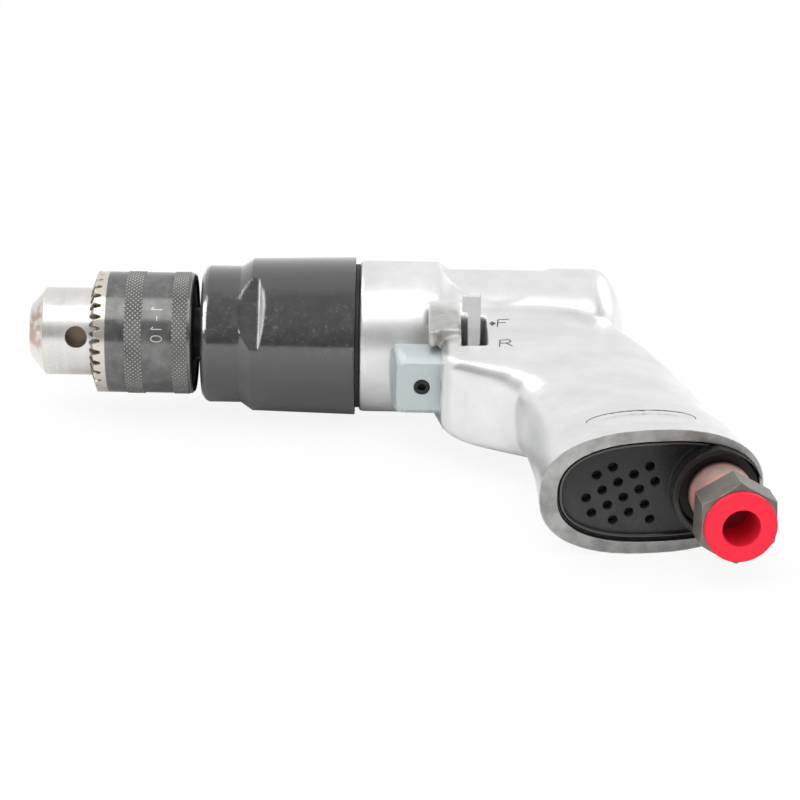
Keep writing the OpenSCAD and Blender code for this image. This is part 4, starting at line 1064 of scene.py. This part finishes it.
class DRILL_OT_inlet(bpy.types.Operator):
    """Finish the air inlet, its seal, its screen and the red plug"""
    bl_idname = "drill.inlet"
    bl_label = "Air inlet"

    # Places out of the rim between which the neck's copper red and the painted shade on its foot
    # begin, in mm
    NECK = (12.7, 12.4)
    FOOT = (3.6, 1.2)
    # Radius of the plug's hole and places out of the rim between which painted shade darkens it, in
    # mm
    HOLE_R = (4.9, 4.7)
    HOLE_OUT = (25.4, 23.0)

    def execute(self, context):
        drill = context.scene.drill
        dress(finish("bronzed_steel", drill.fitting.bronze, metallic=0.45, roughness=0.42,
                     depth=0.02, smudge=120, tone=0.28, edge=0.3, wear=(0.55, 0.5, 0.45),
                     wear_radius=0.35, overlay=self.redden), "inlet_bushing")
        dress(finish("red_plug", drill.moulding.plug, grain=800, depth=0.01, smudge=90,
                     tone=0.05, edge=0.5, specular=0.2, overlay=self.deepen), "inlet_plug")
        dress(finish("nitrile", DARK, roughness=0.6, grain=2000, depth=0.01, tone=0.2),
              "inlet_seal", "stem_seal")
        dress(finish("brass_screen", (0.55, 0.42, 0.2), metallic=1.0, roughness=0.35,
                     grain=2500, depth=0.01, tone=0.15), "inlet_screen")
        return {"FINISHED"}

    def redden(self, tree, hue, rough):
        """The neck behind the hexagon is copper red, with painted shade where it goes into the
        collar.
        """
        out = rim_place(tree)[1]
        copper = blend(patches(tree, 230.0, 0.4, 0.6), (0.54, 0.42, 0.37), (0.90, 0.44, 0.40))
        hue = blend(fade(out, *self.NECK), hue, copper)
        # Painted shade where the neck goes into the collar
        return blend(fade(out, *self.FOOT), hue, (0.02, 0.016, 0.014)), rough

    def deepen(self, tree, hue, rough):
        """Painted shade: the hole in the plug goes dark towards its end."""
        along, out, z = rim_place(tree)
        r = radius(math_node("SUBTRACT", along, INLET * MM), z)
        hole = times(fade(r, *self.HOLE_R), fade(out, *self.HOLE_OUT))
        # Painted shade deeper in the plug's hole
        return blend(hole, hue, (0.24, 0.003, 0.012)), rough


class DRILL_OT_works(bpy.types.Operator):
    """Finish the gears, bearings, motor and valves inside"""
    bl_idname = "drill.works"
    bl_label = "Inner works"

    BEARINGS = ("spindle_bearing", "front_bearing", "rear_bearing")
    # Travel of the trigger, which shortens the spring
    STROKE = 6.0 * MM

    def execute(self, context):
        steel = finish("ground_steel", (0.5, 0.49, 0.47), metallic=1.0, roughness=0.3,
                       grain=2000, depth=0.004, lathe=2400, cut=0.006, tone=0.1)
        dress(steel, "rotor", "planet_pins", "bearing_spacer", "cylinder_pin", "valve_stem")
        self.spring(steel)
        # The spindle is painted near black as the shade in the gap behind the sleeve
        dress(finish("spindle_in_painted_shade", (0.03, 0.029, 0.028), metallic=0.9, roughness=0.4, grain=2000,
                     depth=0.004, lathe=2400, cut=0.006, tone=0.15), "spindle")
        races = finish("race_steel", (0.6, 0.6, 0.58), metallic=1.0, roughness=0.2, lathe=3200,
                       cut=0.003, tone=0.06)
        balls = finish("polished_balls", (0.75, 0.75, 0.74), metallic=1.0, roughness=0.06,
                       tone=0.03, swing=0.02, edge=0)
        for bearing in self.BEARINGS:
            dress(races, bearing + "_outer", bearing + "_inner")
            dress(balls, bearing + "_balls")
        dress(finish("oiled_gears", (0.36, 0.34, 0.29), metallic=1.0, roughness=0.33, grain=1600,
                     depth=0.01, tone=0.2, wear=(0.6, 0.59, 0.56), wear_radius=0.3),
              "planet_gear_1", "planet_gear_2", "planet_gear_3", "ring_gear")
        dress(finish("motor_iron", (0.25, 0.25, 0.255), metallic=0.9, roughness=0.45,
                     grain=1200, depth=0.02, lathe=1500, cut=0.01, tone=0.15),
              "front_end_plate", "rear_end_plate", "motor_cylinder")
        dress(finish("laminated_vanes", (0.2, 0.11, 0.05), roughness=0.6, grain=1500,
                     depth=0.03, smudge=600, tone=0.35), "rotor_vanes")
        dress(finish("turned_brass", (0.58, 0.42, 0.19), metallic=1.0, roughness=0.28, grain=1800,
                     depth=0.004, lathe=2600, cut=0.006, tone=0.1), "valve_bushing")
        dress(finish("oily_brass", (0.09, 0.075, 0.05), metallic=0.8, roughness=0.4,
                     grain=1800, depth=0.006, tone=0.3), "reverse_valve")
        return {"FINISHED"}

    def spring(self, steel):
        """A copy of the valve's spring with its own mesh, riding on the housing; in the tool the
        trigger presses it together.
        """
        piece = add_object("pressed_spring", NODES["valve_spring"].data.copy())
        clad(piece.data, steel)
        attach(piece, "housing")
        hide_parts("valve_spring")
        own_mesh(piece)


class DRILL_PT_panel(bpy.types.Panel):
    """The drill's pieces and settings"""
    bl_idname = "DRILL_PT_panel"
    bl_label = "Air drill"
    bl_space_type = "VIEW_3D"
    bl_region_type = "UI"
    bl_category = "Air drill"

    def draw(self, context):
        for operator in OPERATORS:
            self.layout.operator(operator.bl_idname)
        settings = context.scene.drill
        for part in ("casting", "chuck", "moulding", "fitting", "stage"):
            box = self.layout.box()
            group = getattr(settings, part)
            for prop in group.__annotations__:
                box.prop(group, prop)


OPERATORS = (DRILL_OT_stage, DRILL_OT_housing, DRILL_OT_marks, DRILL_OT_chuck,
             DRILL_OT_nose_cover, DRILL_OT_controls, DRILL_OT_exhaust, DRILL_OT_inlet,
             DRILL_OT_works)
CLASSES = (CastingSettings, ChuckSettings, MouldingSettings, FittingSettings, StageSettings,
           DrillSettings, *OPERATORS, DRILL_PT_panel)


def register():
    for made in CLASSES:
        bpy.utils.register_class(made)
    bpy.types.Scene.drill = PointerProperty(type=DrillSettings)


def unregister():
    del bpy.types.Scene.drill
    for made in reversed(CLASSES):
        bpy.utils.unregister_class(made)


def main():
    register()
    build_grain()
    build_lathe_marks()
    build_edge_wear()
    for operator in OPERATORS:
        group, name = operator.bl_idname.split(".")
        getattr(getattr(bpy.ops, group), name)()


if __name__ == "__main__":
    main()
